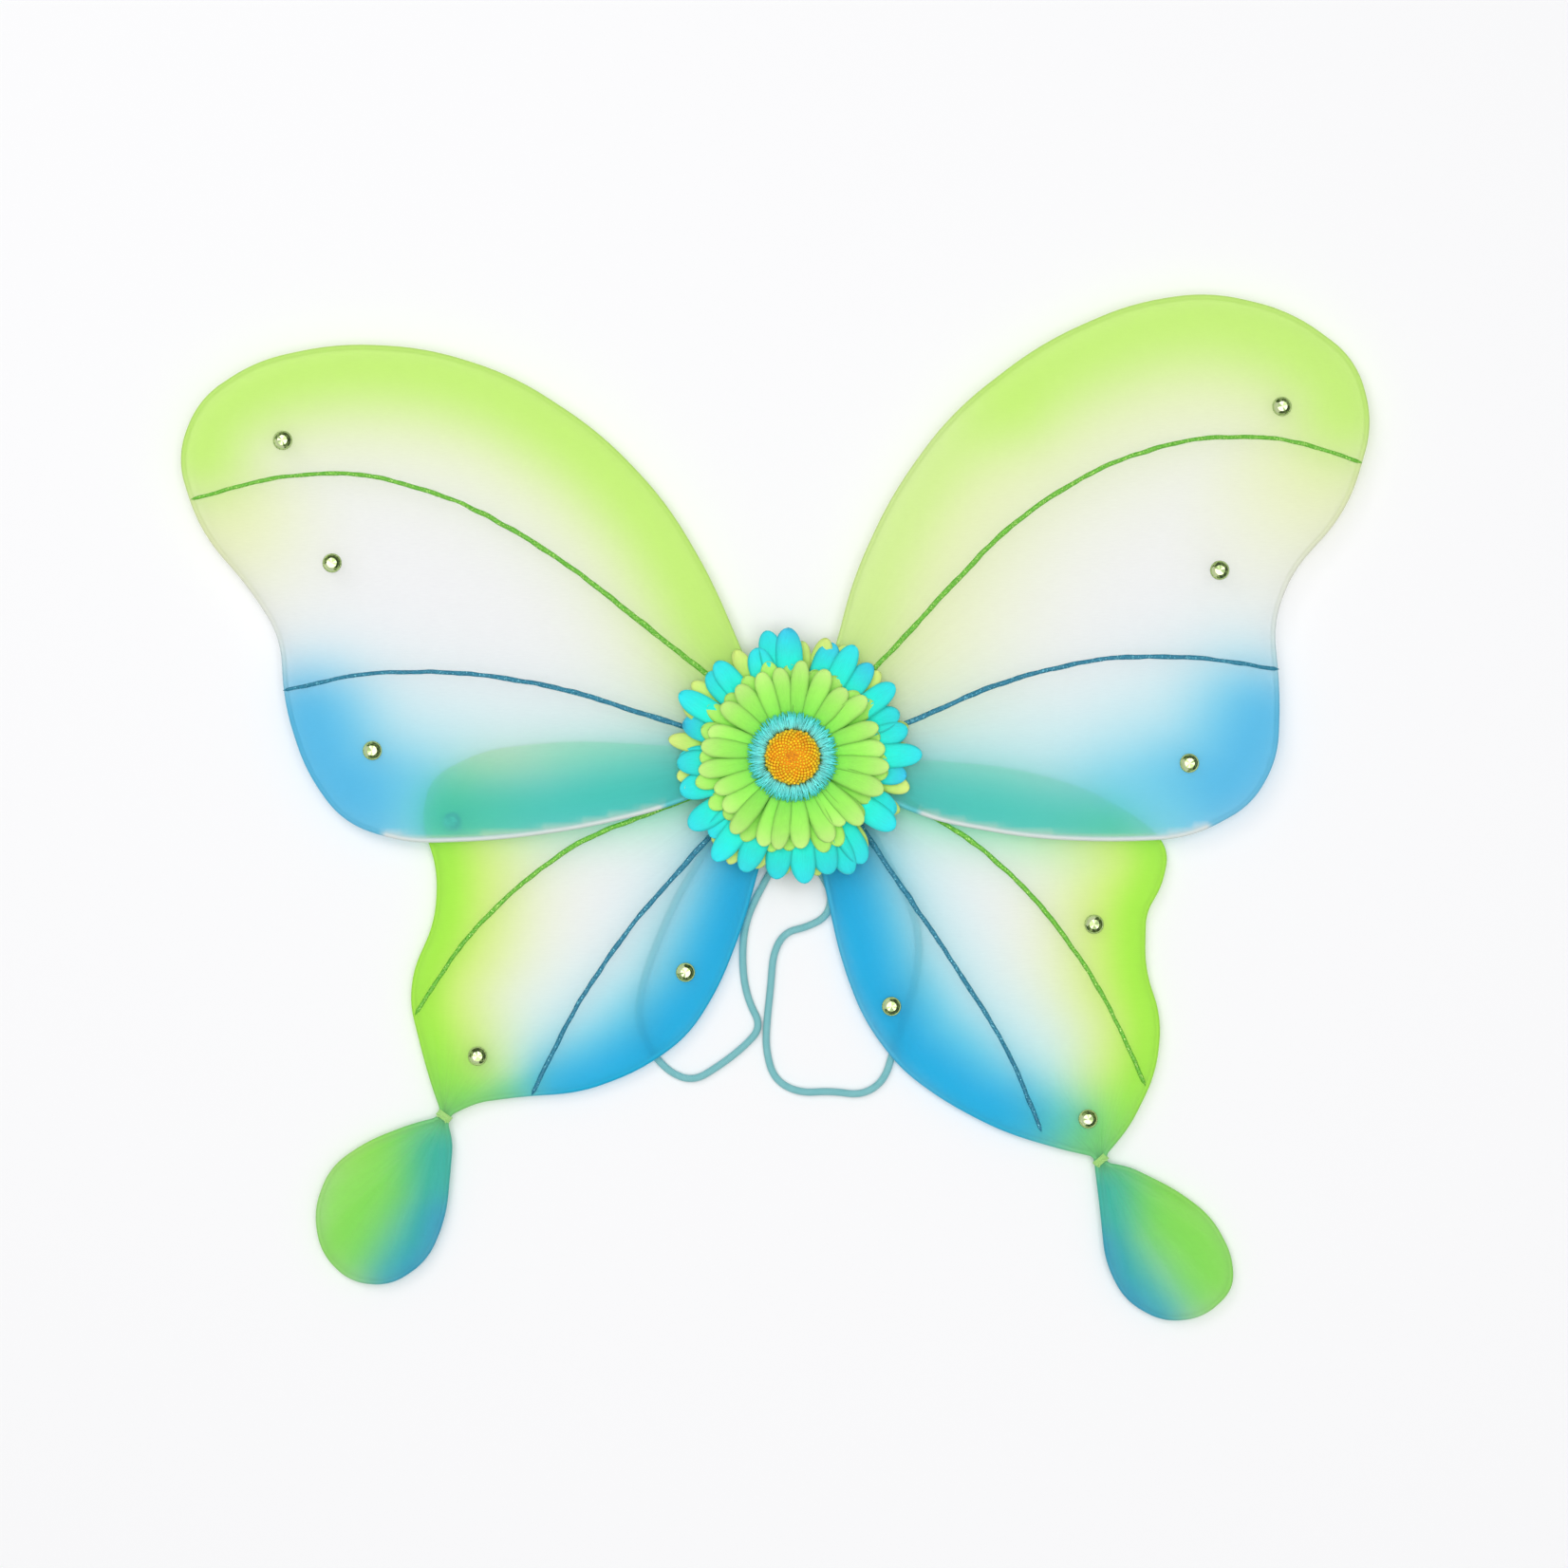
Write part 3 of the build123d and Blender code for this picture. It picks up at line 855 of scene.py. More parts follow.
def strip_middle(node):
    """Middle line of a CAD strip that has one width and two square ends, from the hub outward."""
    loop = top_outline(node)
    runs = np.roll(loop, -1, axis=0) - loop
    headings = np.arctan2(runs[:, 1], runs[:, 0])
    turns = np.abs((headings - np.roll(headings, 1) + math.pi) % TURN - math.pi)
    corners = sorted(np.argsort(turns)[-4:])
    gaps = [np.linalg.norm(loop[corners[(i + 1) % 4]] - loop[corners[i]]) for i in range(4)]
    first = int(np.argmin(gaps))
    order = [corners[(first + i) % 4] for i in range(4)]

    def side(start, end):
        if end < start:
            end += len(loop)
        return loop[[i % len(loop) for i in range(start, end + 1)]]

    one = side(order[1], order[2])
    other = side(order[3], order[0])[::-1]
    stations = max(len(one), len(other)) * 2
    both = []
    for line in (one, other):
        runs = np.linalg.norm(np.diff(line, axis=0), axis=1)
        along = np.concatenate([[0], np.cumsum(runs)]) / runs.sum()
        share = np.linspace(0, 1, stations)
        both.append(np.stack([np.interp(share, along, axis) for axis in line.T], axis=1))
    middle = (both[0] + both[1]) / 2
    if np.linalg.norm(middle[0]) > np.linalg.norm(middle[-1]):
        middle = middle[::-1]
    return middle


def add_vein(wing, colour, material, seed):
    """One bead of glitter glue along a CAD vein, a little uneven, as it is squeezed out."""
    node = f"{wing}_{colour}_vein"
    low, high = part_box(node)
    middle = strip_middle(node)
    inward = max(0.0, np.linalg.norm(middle[0]) - VEIN_INNER)
    first = middle[0] + unit(middle[0] - middle[3]) * inward
    last = middle[-1] + unit(middle[-1] - middle[-4]) * VEIN_REACH
    line = resampled(np.vstack([first, middle, last]), VEIN_STEP)
    sideways = tangents(line)[:, ::-1] * (1, -1)
    rings = []
    for index, (place, side) in enumerate(zip(line, sideways)):
        sample = index * 0.11 + seed * 31.7
        swell = 1 + 0.22 * wobble(sample, 0.3, 0.0)
        swell += 0.12 * wobble(sample * 4.1, 2.3, 0.0)
        drift = 0.35 * MM * wobble(sample * 1.3, 5.3, 0.0)
        ends = min(1.0, (min(index, len(line) - 1 - index) + 0.4) / 2.5)
        half_width = VEIN_HALF * (1 - 0.3 * index / len(line))
        ring = []
        for angle in (180, 150, 120, 90, 60, 30, 0):
            across = math.cos(math.radians(angle)) * half_width * swell * ends + drift
            rise = math.sin(math.radians(angle)) * (high.z - low.z) * swell * ends
            ring.append((*(place + side * across), low.z - 0.2 * MM + rise * 1.25))
        rings.append(ring)
    piece = add_piece(node + "_bead", *rings_to_mesh(rings), material)
    fold_over_bend(piece, wing, colour + "_glitter", node, colour + "_vein_roots")


# ---- gems ----

GEM_FACETS = 12
# Each ring of a stone's corners: its share of the radius, of the height, and its turn in facets.
GEM_LEVELS = ((0.90, 0.0, 0.0), (0.90, 0.24, 0.0), (0.74, 0.62, 0.5), (0.52, 0.94, 0.0))
TABLE_RISE = 0.96  # the table's middle, as a share of the height
TABLE_SHARE = 0.45  # the table's facets have their middles this near to the stone's, in radii
BEZEL_RING = 0.91  # radius of the bezel's ring, and of its wire, in the stone's radii
BEZEL_WIRE = 0.085
BEZEL_RISE = 0.22  # the ring's height over the stone's back, as a share of the stone's height
BEZEL_SIDES = 32
# Painted reflections of a stone's facets, from painted shade to painted highlight.
GEM_PAINTED_REFLECTIONS = (linear(58, 78, 26), linear(108, 132, 62), linear(156, 178, 106), linear(212, 226, 172))


def gem_material():
    """Silver-backed clear acrylic, each facet with its dark or bright reflection painted into its
    colour.
    """
    found, tree = new_material("gem")
    return principled(found, {
        # each facet's painted reflection, held in its shade attribute
        "Base Color": attribute(tree, "shade"),
        "Metallic": 0.35,
        "Roughness": 0.1,
        "Coat Weight": 0.6,
        "Coat Roughness": 0.03,
    })


def painted_facet_reflection(middle, light_from, rng):
    """A facet's painted reflection: the table is painted mostly bright, sides facing the light's side
    are painted as a highlight, and sides are painted darker the further they face away from it.
    """
    if math.hypot(middle.x, middle.y) < TABLE_SHARE:
        return GEM_PAINTED_REFLECTIONS[rng.choice((1, 2, 3, 3))]
    away = abs((math.atan2(middle.y, middle.x) - light_from + math.pi) % TURN - math.pi)
    if away < 0.9:
        return GEM_PAINTED_REFLECTIONS[3]
    return GEM_PAINTED_REFLECTIONS[rng.choice((0, 0, 1)) if away > 1.8 else rng.choice((0, 1, 2))]


def bezel_material():
    """Dull silver setting with a worn rim."""
    found, tree = new_material("bezel")
    wear = noise_value(tree, rest_position(tree), 1500, 3.0)
    return principled(found, {
        "Base Color": mixed(tree, wear, linear(104, 130, 62), linear(176, 196, 132)),
        "Metallic": 0.5,
        "Roughness": spread_range(tree, wear, 0.3, 0.7, 0.2, 0.4),
    })


def stone_mesh(centre, radius, height, turn):
    """Points and faces of a faceted stone on a flat back."""
    rings = [level_circle(centre, share * radius, centre.z + rise * height, GEM_FACETS, shift + turn)
             for share, rise, shift in GEM_LEVELS]
    points = [spot for ring in rings for spot in ring]
    faces = []
    for level in range(len(GEM_LEVELS) - 1):
        here, there = level * GEM_FACETS, (level + 1) * GEM_FACETS
        shifted = GEM_LEVELS[level + 1][2] - GEM_LEVELS[level][2]
        for i in range(GEM_FACETS):
            j = (i + 1) % GEM_FACETS
            if shifted > 0:
                faces += [(here + i, here + j, there + i), (here + j, there + j, there + i)]
            elif shifted < 0:
                faces += [(here + i, there + j, there + i), (here + i, here + j, there + j)]
            else:
                faces.append((here + i, here + j, there + j, there + i))
    last, top = len(points) - GEM_FACETS, len(points)
    points.append((centre.x, centre.y, centre.z + height * TABLE_RISE))
    faces += [(last + i, last + (i + 1) % GEM_FACETS, top) for i in range(GEM_FACETS)]
    faces.append(tuple(reversed(range(GEM_FACETS))))
    return points, faces


def add_gem(node, body, stone, setting, seed):
    """A faceted flat-back and its thin bezel, turned at random."""
    low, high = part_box(node)
    centre = Vector((*middle_of(node)[:2], low.z))
    radius, height = half_size(node)[0], high.z - low.z
    rng = random.Random(seed)
    turn = rng.uniform(0, 1)
    # the side whose facets are painted as the highlight
    light_from = rng.uniform(2.2, 4.2)
    points, faces = stone_mesh(centre, radius, height, turn)
    piece = add_piece(node + "_stone", points, faces, stone, smooth=False)
    # each facet's colour is its painted reflection: painted highlight or painted shade
    shades = []
    for face in faces:
        middle = sum((Vector(points[i]) for i in face), Vector()) / len(face) - centre
        shades.append(painted_facet_reflection(middle / radius, light_from, rng))
    add_values(piece, "shade", shades, domain="FACE")
    settle(piece, body, "gem", node)

    line = level_circle(centre, BEZEL_RING * radius, centre.z + BEZEL_RISE * height, BEZEL_SIDES)
    ring = tube(line, BEZEL_WIRE * radius, 8, closed=True)
    settle(add_piece(node + "_bezel", *ring, setting), body, "gem")


# ---- thread, tape, felt and elastic ----

THREAD = 0.26 * MM  # radius
TIE_TURNS = 6
TIE_STEPS = 20  # points in one turn
TIE_LENGTH = 2.9 * MM
TIE_HALF_WIDTH = 3.1 * MM
TIE_AIR = 0.2 * MM  # between the thread and the nylon's face
PAD_SOFTNESS = 0.35 * MM  # how much of the pad's edge is cut off at the corners
TAPE_TURNS = 9
TAPE_STEPS = 8  # levels in one turn
TAPE_SIDES = 56
KNOT_TUBE = 1.25 * MM  # radius
KNOT_POINTS = 72

STRAP_DIAMETER = 3.0 * MM
STRAP_HEIGHT = 1.6 * MM

# Plan points in mm, from the pad's lower holes round the loop to its upper holes.
STRAP_ROUTES = {
    "left": [
        (-4, -28.6), (-4.8, -40), (-13, -54), (-20, -69), (-21, -87), (-18.5, -101), (-12.6, -112),
        (-21, -121), (-31, -128.5), (-41, -134.5), (-51, -131), (-59, -122), (-64.5, -109),
        (-62.5, -94), (-56, -76), (-48, -58), (-37, -40), (-28.5, -22), (-26, -6), (-25, 7.5),
        (-21.5, 18.5), (-15.5, 23.2), (-8.1, 23),
    ],
    "right": [
        (4, -28.6), (4.6, -38.5), (12, -48), (16.5, -57), (14.5, -66), (6, -70.5), (-3, -72.5),
        (-8, -81), (-9, -95), (-10.8, -111), (-11, -122), (-7.5, -134), (3, -139.5), (16, -138.5),
        (29, -140.5), (38.5, -134), (42, -121), (47.5, -106), (52, -90), (53, -73), (47, -56),
        (37, -39), (28.5, -22), (26, -6), (25, 7.5), (21.5, 18.5), (15.5, 23.2), (8.1, 23),
    ],
}


def cloth_material(name, dark, light, pitch, height, sheen=0.3, roughness=0.8, grain=400):
    """Woven cloth in two colours, with threads of one pitch; the colours are mixed by random clouds
    and by the weave, which paints shade into the hollows between the threads.
    """
    found, tree = new_material(name)
    place = rest_position(tree)
    clouds = noise_value(tree, place, grain, 5.0, 0.65)
    threads = weave_height(tree, pitch)
    # painted shade: the hollows between threads darker, their crowns lighter, besides random clouds
    shade = times_plus(tree, threads, 0.35, times(tree, clouds, 0.65))
    return principled(found, {
        "Base Color": mixed(tree, shade, dark, light),
        "Roughness": spread_range(tree, clouds, 0.2, 0.8, roughness - 0.08, roughness + 0.08),
        "Sheen Weight": sheen,
        "Normal": bump(tree, shade, height),
    })


def add_tail_tie(wing, material):
    """Pale thread wound round the neck, with its two cut ends."""
    node = wing + "_tail_tie"
    neck, heading = neck_of(wing)
    side = np.array([-heading[1], heading[0]])
    middle_z = middle_of(node)[2]
    half_height = half_size(wing + "_sleeve")[2] + TIE_AIR
    line = []
    for index in range(TIE_TURNS * TIE_STEPS + 1):
        angle = index / TIE_STEPS * TURN
        along = (index / (TIE_TURNS * TIE_STEPS) - 0.5) * TIE_LENGTH
        stray = 0.12 * MM * wobble(index * 0.35, 1.1, 4.0)
        across = math.cos(angle) * (TIE_HALF_WIDTH + stray)
        rise = math.sin(angle) * (half_height + THREAD + stray)
        spot = neck + heading * (along + stray) + side * across
        line.append((*spot, middle_z + rise))
    parts = [tube(line, THREAD, 6)]
    for sign in (-1, 1):
        start = np.array([*(neck + side * sign * 0.4 * MM), middle_z + half_height + 0.4 * MM])
        lean = np.array([*(heading * 1.6 * MM + side * sign * 1.9 * MM), 0.25 * MM])
        stub = [start, start + lean * 0.5 + (0, 0, 0.3 * MM), start + lean]
        parts.append(tube(resampled(stub, 0.4 * MM), THREAD, 6))
    piece = add_piece(node + "_thread", *merged(parts), material)
    settle(piece, wing + "_wing", "thread", node)


def add_pad(material):
    """Felt back pad with softened edges, on the CAD pad's own outline."""
    low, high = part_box("back_pad")
    outline = resampled(top_outline("back_pad"), 1.0 * MM, closed=True)
    inward = left_of(tangents(outline, closed=True))
    soft = PAD_SOFTNESS
    levels = ((soft, low.z), (0.0, low.z + soft), (0.0, high.z - soft), (soft, high.z))
    rings = [[(*(place + push * inset), z) for place, push in zip(outline, inward)]
             for inset, z in levels]
    points, faces = rings_to_mesh(rings, capped=False)
    count = len(outline)
    edges = [(i, (i + 1) % count) for i in range(count)]
    for start in (0, (len(levels) - 1) * count):
        ring = points[start : start + count]
        flat = delaunay_2d_cdt([Vector(p[:2]) for p in ring], edges, [], 1, 1e-7)
        back = {new: old[0] for new, old in enumerate(flat[3]) if old}
        for face in flat[2]:
            corners = tuple(start + back[i] for i in face)
            faces.append(corners if start else tuple(reversed(corners)))
    piece = add_piece("felt_pad", points, faces, material)
    settle(piece, "hub", "felt", "back_pad")


def add_binding(material):
    """Tape wound over the wire ends: overlapping turns that bulge in the middle."""
    low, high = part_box("binding")
    rings = []
    levels = TAPE_TURNS * TAPE_STEPS
    for level in range(levels + 1):
        share = level / levels
        z = low.z + 0.1 * MM + share * (high.z - low.z - 0.2 * MM)
        ring = []
        for i in range(TAPE_SIDES):
            angle = i * TURN / TAPE_SIDES
            phase = (share * TAPE_TURNS + i / TAPE_SIDES) % 1
            step = 0.35 * MM * phase
            lump = 0.25 * MM * wobble(math.cos(angle) * 2, math.sin(angle) * 2, z * 300)
            pull = 0.9 - 0.1 * abs(2 * share - 1) ** 3
            ring.append((math.cos(angle) * (high.x * pull + step + lump),
                         math.sin(angle) * (high.y * pull + step + lump), z))
        rings.append(ring)
    piece = add_piece("tape_binding", *rings_to_mesh(rings), material)
    settle(piece, "hub", "tape", "binding")


def add_knot(node, material):
    """A strap's end tied in an overhand knot and pulled tight."""
    radius = half_size(node)[0] - KNOT_TUBE
    line = []
    for index in range(KNOT_POINTS):
        t = index / KNOT_POINTS * TURN
        x = math.sin(t) + 2 * math.sin(2 * t)
        y = math.cos(t) - 2 * math.cos(2 * t)
        line.append(middle_of(node) + np.array([x, y, -1.6 * math.sin(3 * t)]) * radius / 3)
    piece = add_piece(node + "_tied", *tube(line, KNOT_TUBE, closed=True), material)
    settle(piece, "hub", "elastic", node)


def elastic_material():
    """Braided round elastic in grey-teal, with a fine diagonal braid whose hollows are painted darker
    as shade.
    """
    found, tree = new_material("elastic")
    place = make(tree, "ShaderNodeTexCoord").outputs["Object"]
    braids = []
    for lean in (1, -1):
        slanted = make(tree, "ShaderNodeMapping", {"Vector": place, "Rotation": (0, 0, lean * 0.8)})
        inputs = {"Vector": slanted.outputs[0], "Scale": 420.0, "Distortion": 0.3}
        braids.append(make(tree, "ShaderNodeTexWave", inputs).outputs[1])
    braid = times(tree, braids[0], braids[1])
    clouds = noise_value(tree, place, 300, 3.0)
    # painted shade: the braid's hollows darker, its crowns lighter, besides random clouds
    shade = times_plus(tree, braid, 0.5, times(tree, clouds, 0.4))
    return principled(found, {
        "Base Color": mixed(tree, shade, linear(98, 178, 184), linear(164, 220, 222)),
        "Roughness": spread_range(tree, braid, 0, 1, 0.7, 0.5),
        "Sheen Weight": 0.2,
        "Normal": bump(tree, braid, 0.15 * MM),
    })


def add_strap(side, material):
    """A strap as one smooth curve along its route."""
    data = bpy.data.curves.new(side + "_elastic", "CURVE")
    data.dimensions = "3D"
    data.bevel_depth = STRAP_DIAMETER / 2
    data.bevel_resolution = 5
    data.resolution_u = 10
    data.use_fill_caps = True
    route = STRAP_ROUTES[side]
    spline = data.splines.new("NURBS")
    spline.points.add(len(route) - 1)
    for point, (x, y) in zip(spline.points, route):
        point.co = (x * MM, y * MM, STRAP_HEIGHT, 1)
    spline.order_u = 3
    spline.use_endpoint_u = True
    data.materials.append(material)
    piece = add_object(side + "_elastic", data)
    settle(piece, "hub", "elastic", side + "_strap")


# ---- flower ----

PETAL_ROWS = 14
PETAL_COLUMNS = 8
PETAL_WIDEST = 0.74  # where along a petal it is widest
PETAL_THICKNESS = 0.22 * MM
PETAL_GLOW = 0.12  # how much of a petal's light comes through it from behind
CREASE_WIDTH = 0.22  # as a share of a petal's half-width
BLUE_TIP = linear(56, 216, 252)  # of some outer petals
BLUE_TIP_SHARE = 0.22
FRINGE_STRANDS = 460
FRINGE_POINTS = 6  # along one strand
FRINGE_SIDES = 4
FRINGE_PALE = linear(138, 252, 252)
FRINGE_DEEP = linear(30, 226, 218)
SEED_COUNT = 260
GOLDEN_ANGLE = math.pi * (3 - math.sqrt(5))
GOLD, AMBER, BROWN = linear(255, 212, 20), linear(255, 188, 6), linear(232, 150, 20)
OLIVE, CORE_ORANGE = linear(222, 202, 40), linear(244, 172, 8)
DISC_SIDES = 72

# inner and reach are radii in mm; lift, arch and droop shape a petal along its length, in mm, and
# tilt across it.  stray is how far a petal may stand out of its place, in steps from one to the next.
FLOWER = {
    "back_petals": dict(count=26, inner=12, reach=(46.5, 51.8), width=8.4, lift=0.2, arch=0.8,
                        droop=0.8, tilt=0.35, stray=0.2, base=linear(150, 236, 70),
                        middle=linear(190, 246, 104), tip=linear(232, 252, 140)),
    "outer_petals": dict(count=29, inner=12, reach=(47.0, 54.0), width=10.6, lift=0.6, arch=1.6,
                         droop=1.6, tilt=0.9, stray=0.4, base=linear(0, 216, 176),
                         middle=linear(8, 252, 228), tip=linear(44, 240, 250)),
    "middle_petals": dict(count=24, inner=12, reach=(37.0, 41.5), width=8.4, lift=0.5, arch=1.2,
                          droop=1.0, tilt=0.3, stray=0.16, base=linear(96, 220, 50),
                          middle=linear(156, 250, 84), tip=linear(200, 255, 124)),
    "inner_petals": dict(count=24, inner=11, reach=(34.5, 40.0), width=8.2, lift=1.0, arch=1.4,
                         droop=1.3, tilt=0.25, stray=0.14, base=linear(116, 240, 70),
                         middle=linear(168, 255, 96), tip=linear(214, 255, 142)),
}


def petal_material(name):
    """Pressed polyester petal: fine weave, faint veins along it and a soft sheen."""
    found, tree = new_material(name)
    grain = attribute(tree, "grain", "Vector")
    fibres = noise_value(tree, scaled(tree, grain, (26, 2.0, 1)), 1.0, 4.0, 0.6)
    threads = weave_height(tree, 0.34 * MM)
    clouds = noise_value(tree, rest_position(tree), 260, 3.0)
    dim = times_plus(tree, fibres, 0.30, 0.80)
    colour = dimmed_tint(tree, times_plus(tree, clouds, 0.14, dim))
    height = times_plus(tree, threads, 0.25, fibres)
    inputs = {
        "Base Color": colour,
        "Roughness": spread_range(tree, clouds, 0.3, 0.7, 0.55, 0.72),
        "Sheen Weight": 0.25,
        "Normal": bump(tree, height, 0.12 * MM),
    }
    cloth = make(tree, "ShaderNodeBsdfPrincipled", inputs)
    glow = make(tree, "ShaderNodeBsdfTranslucent", {"Color": colour})
    return surfaced(found, mixed_shaders(tree, PETAL_GLOW, cloth, glow))


def petal_width(u):
    """Half-width of a petal, as a share, from its base at 0 to its round tip at 1."""
    if u < PETAL_WIDEST:
        return 0.5 + 0.5 * math.sin(u / PETAL_WIDEST * math.pi / 2) ** 1.3
    return max(0.0, 1 - ((u - PETAL_WIDEST) / (1 - PETAL_WIDEST)) ** 2.3) ** 0.5


def petal_colour(u, v, base, middle, tip):
    """Linear colour at u along a petal and v across it: three colours, with painted shade at the
    edges, where the petals shade each other.
    """
    toward = min(1.0, u / 0.6)
    colour = base * (1 - toward) + middle * toward
    past = max(0.0, (u - 0.6) / 0.4) ** 1.4
    colour = colour * (1 - past) + tip * past
    # painted shade towards the edges, weaker towards the tip
    return colour * (1 - 0.36 * abs(v) ** 5 * (1 - 0.4 * u))


def petal(ring, angle, reach, height, rng):
    """One petal as points, faces, colours and grain coordinates."""
    wide = ring["width"] * rng.uniform(0.9, 1.06) * MM / 2
    inner = ring["inner"] * MM
    lean = rng.gauss(0, 0.04)
    bow = rng.gauss(0, 0.5) * MM
    roll = rng.gauss(0, ring["tilt"]) * MM
    crease_at = rng.uniform(-0.25, 0.25)
    crease = rng.uniform(0.25, 0.6) * MM
    arch = ring["arch"] * rng.uniform(0.7, 1.25) * MM
    droop = ring["droop"] * rng.uniform(0.2, 1.5) * MM
    fold_side = rng.choice((-1, 0, 0, 1)) * rng.uniform(0.4, 1.0) * MM
    seed = rng.uniform(0, 100)
    points, faces, colours, grain = [], [], [], []
    shade = rng.uniform(0.92, 1.05)
    base, middle, tip = (np.array(ring[key][:3]) for key in ("base", "middle", "tip"))
    if base[1] < 3 * base[2] and rng.random() < BLUE_TIP_SHARE:
        tip = np.array(BLUE_TIP[:3])
    for row in range(PETAL_ROWS + 1):
        u = 1 - (1 - row / PETAL_ROWS) ** 1.8
        half = max(wide * petal_width(u), 0.02 * MM)
        along = inner + (reach * MM - inner) * u
        for column in range(PETAL_COLUMNS + 1):
            v = 2 * column / PETAL_COLUMNS - 1
            edge = 1 + 0.05 * wobble(u * 5, v * 2, seed)
            across = v * half * edge + bow * u * u + lean * (along - inner)
            z = height + ring["lift"] * MM * u + arch * math.sin(math.pi * u)
            z += roll * v * u - droop * u**3
            furrow = math.exp(-(((v - crease_at) / CREASE_WIDTH) ** 2))
            z -= crease * furrow * math.sin(math.pi * min(u, 0.9))
            z += 0.35 * MM * v * v * u
            z += fold_side * max(0.0, v * (1 if fold_side > 0 else -1)) ** 2 * u
            z += 0.18 * MM * wobble(u * 4, v * 1.5, seed + 9)
            points.append((along * math.cos(angle) - across * math.sin(angle),
                           along * math.sin(angle) + across * math.cos(angle), z))
            colours.append((*(petal_colour(u, v, base, middle, tip) * shade), 1))
            grain.append((v, u * 6 + seed, seed))
    width = PETAL_COLUMNS + 1
    for row in range(PETAL_ROWS):
        for column in range(PETAL_COLUMNS):
            a = row * width + column
            faces.append((a, a + width, a + width + 1, a + 1))
    return points, faces, colours, grain


def thicken(piece):
    """A Solidify modifier, applied, so that a petal's cloth has two sides."""
    solid = piece.modifiers.new("cloth", "SOLIDIFY")
    solid.thickness = PETAL_THICKNESS
    solid.offset = 0
    bpy.context.view_layer.update()
    graph = bpy.context.evaluated_depsgraph_get()
    mesh = bpy.data.meshes.new_from_object(piece.evaluated_get(graph))
    piece.modifiers.clear()
    old = piece.data
    piece.data = mesh
    bpy.data.meshes.remove(old)


def add_petal_ring(name, material, seed, slot):
    """All petals of one ring, each bent and coloured a little differently."""
    ring = FLOWER[name]
    low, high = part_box(name)
    rng = random.Random(seed)
    parts, colours, grain = [], [], []
    for index in range(ring["count"]):
        angle = (index + rng.uniform(-1, 1) * ring["stray"]) * TURN / ring["count"] + seed * 0.11
        reach = rng.uniform(*ring["reach"])
        layer = (index % 2) * 0.35 * MM
        made = petal(ring, angle, reach, low.z + 0.2 * MM + layer, rng)
        parts.append(made[:2])
        colours += made[2]
        grain += made[3]
    points, faces = merged(parts)
    piece = add_piece(name + "_cloth", points, faces, material)
    # each petal's colour, with its painted edge shade
    add_values(piece, "tint", colours)
    add_values(piece, "grain", grain, "FLOAT_VECTOR")
    thicken(piece)
    settle(piece, "hub", slot, name)


def fringe_material():
    """Cut turquoise fringe, paler towards the middle of the flower."""
    found, tree = new_material("fringe")
    clouds = noise_value(tree, rest_position(tree), 900, 2.0)
    return principled(found, {
        "Base Color": dimmed_tint(tree, times_plus(tree, clouds, 0.4, 0.8)),
        "Roughness": spread_range(tree, clouds, 0.3, 0.7, 0.5, 0.7),
        "Sheen Weight": 0.2,
    })


def add_fringe(material):
    """Fringe round the centre: thin strands that rise and curl outward."""
    low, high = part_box("fringe_ring")
    rng = random.Random(41)
    parts, colours = [], []
    for index in range(FRINGE_STRANDS):
        angle = (index + rng.uniform(-0.5, 0.5)) * TURN / FRINGE_STRANDS
        start = rng.uniform(10.8, 12.8) * MM
        length = (high.x - start) * rng.uniform(0.72, 1.0)
        rise = rng.uniform(0.9, 2.6) * MM
        sway = rng.gauss(0, 0.05)
        thick = rng.uniform(0.2, 0.32) * MM
        line = []
        for step in range(FRINGE_POINTS):
            u = step / (FRINGE_POINTS - 1)
            away = start + length * u
            turn = angle + sway * u * u
            line.append((away * math.cos(turn), away * math.sin(turn),
                         low.z + 0.3 * MM + rise * math.sin(2.3 * u) * 1.1))
        parts.append(tube(line, [thick] * (FRINGE_POINTS - 1) + [thick * 0.5], FRINGE_SIDES))
        shade = rng.uniform(0.8, 1.1)
        for step in range(FRINGE_POINTS):
            share = (step / (FRINGE_POINTS - 1)) ** 1.6
            mix = zip(FRINGE_PALE, FRINGE_DEEP)
            colour = [shade * (pale * (1 - share) + deep * share) for pale, deep in mix]
            colours += [(*colour[:3], 1)] * FRINGE_SIDES
    piece = add_piece("fringe", *merged(parts), material)
    add_values(piece, "tint", colours)
    settle(piece, "hub", "fringe", "fringe_ring")


def seed_material():
    """Orange flocked bobbles, browner in the middle."""
    found, tree = new_material("seeds")
    flock = noise_value(tree, rest_position(tree), 3200, 3.0)
    return principled(found, {
        "Base Color": dimmed_tint(tree, times_plus(tree, flock, 0.4, 0.85)),
        "Roughness": spread_range(tree, flock, 0.3, 0.7, 0.7, 0.9),
        "Sheen Weight": 0.05,
        "Normal": bump(tree, flock, 0.1 * MM),
    })


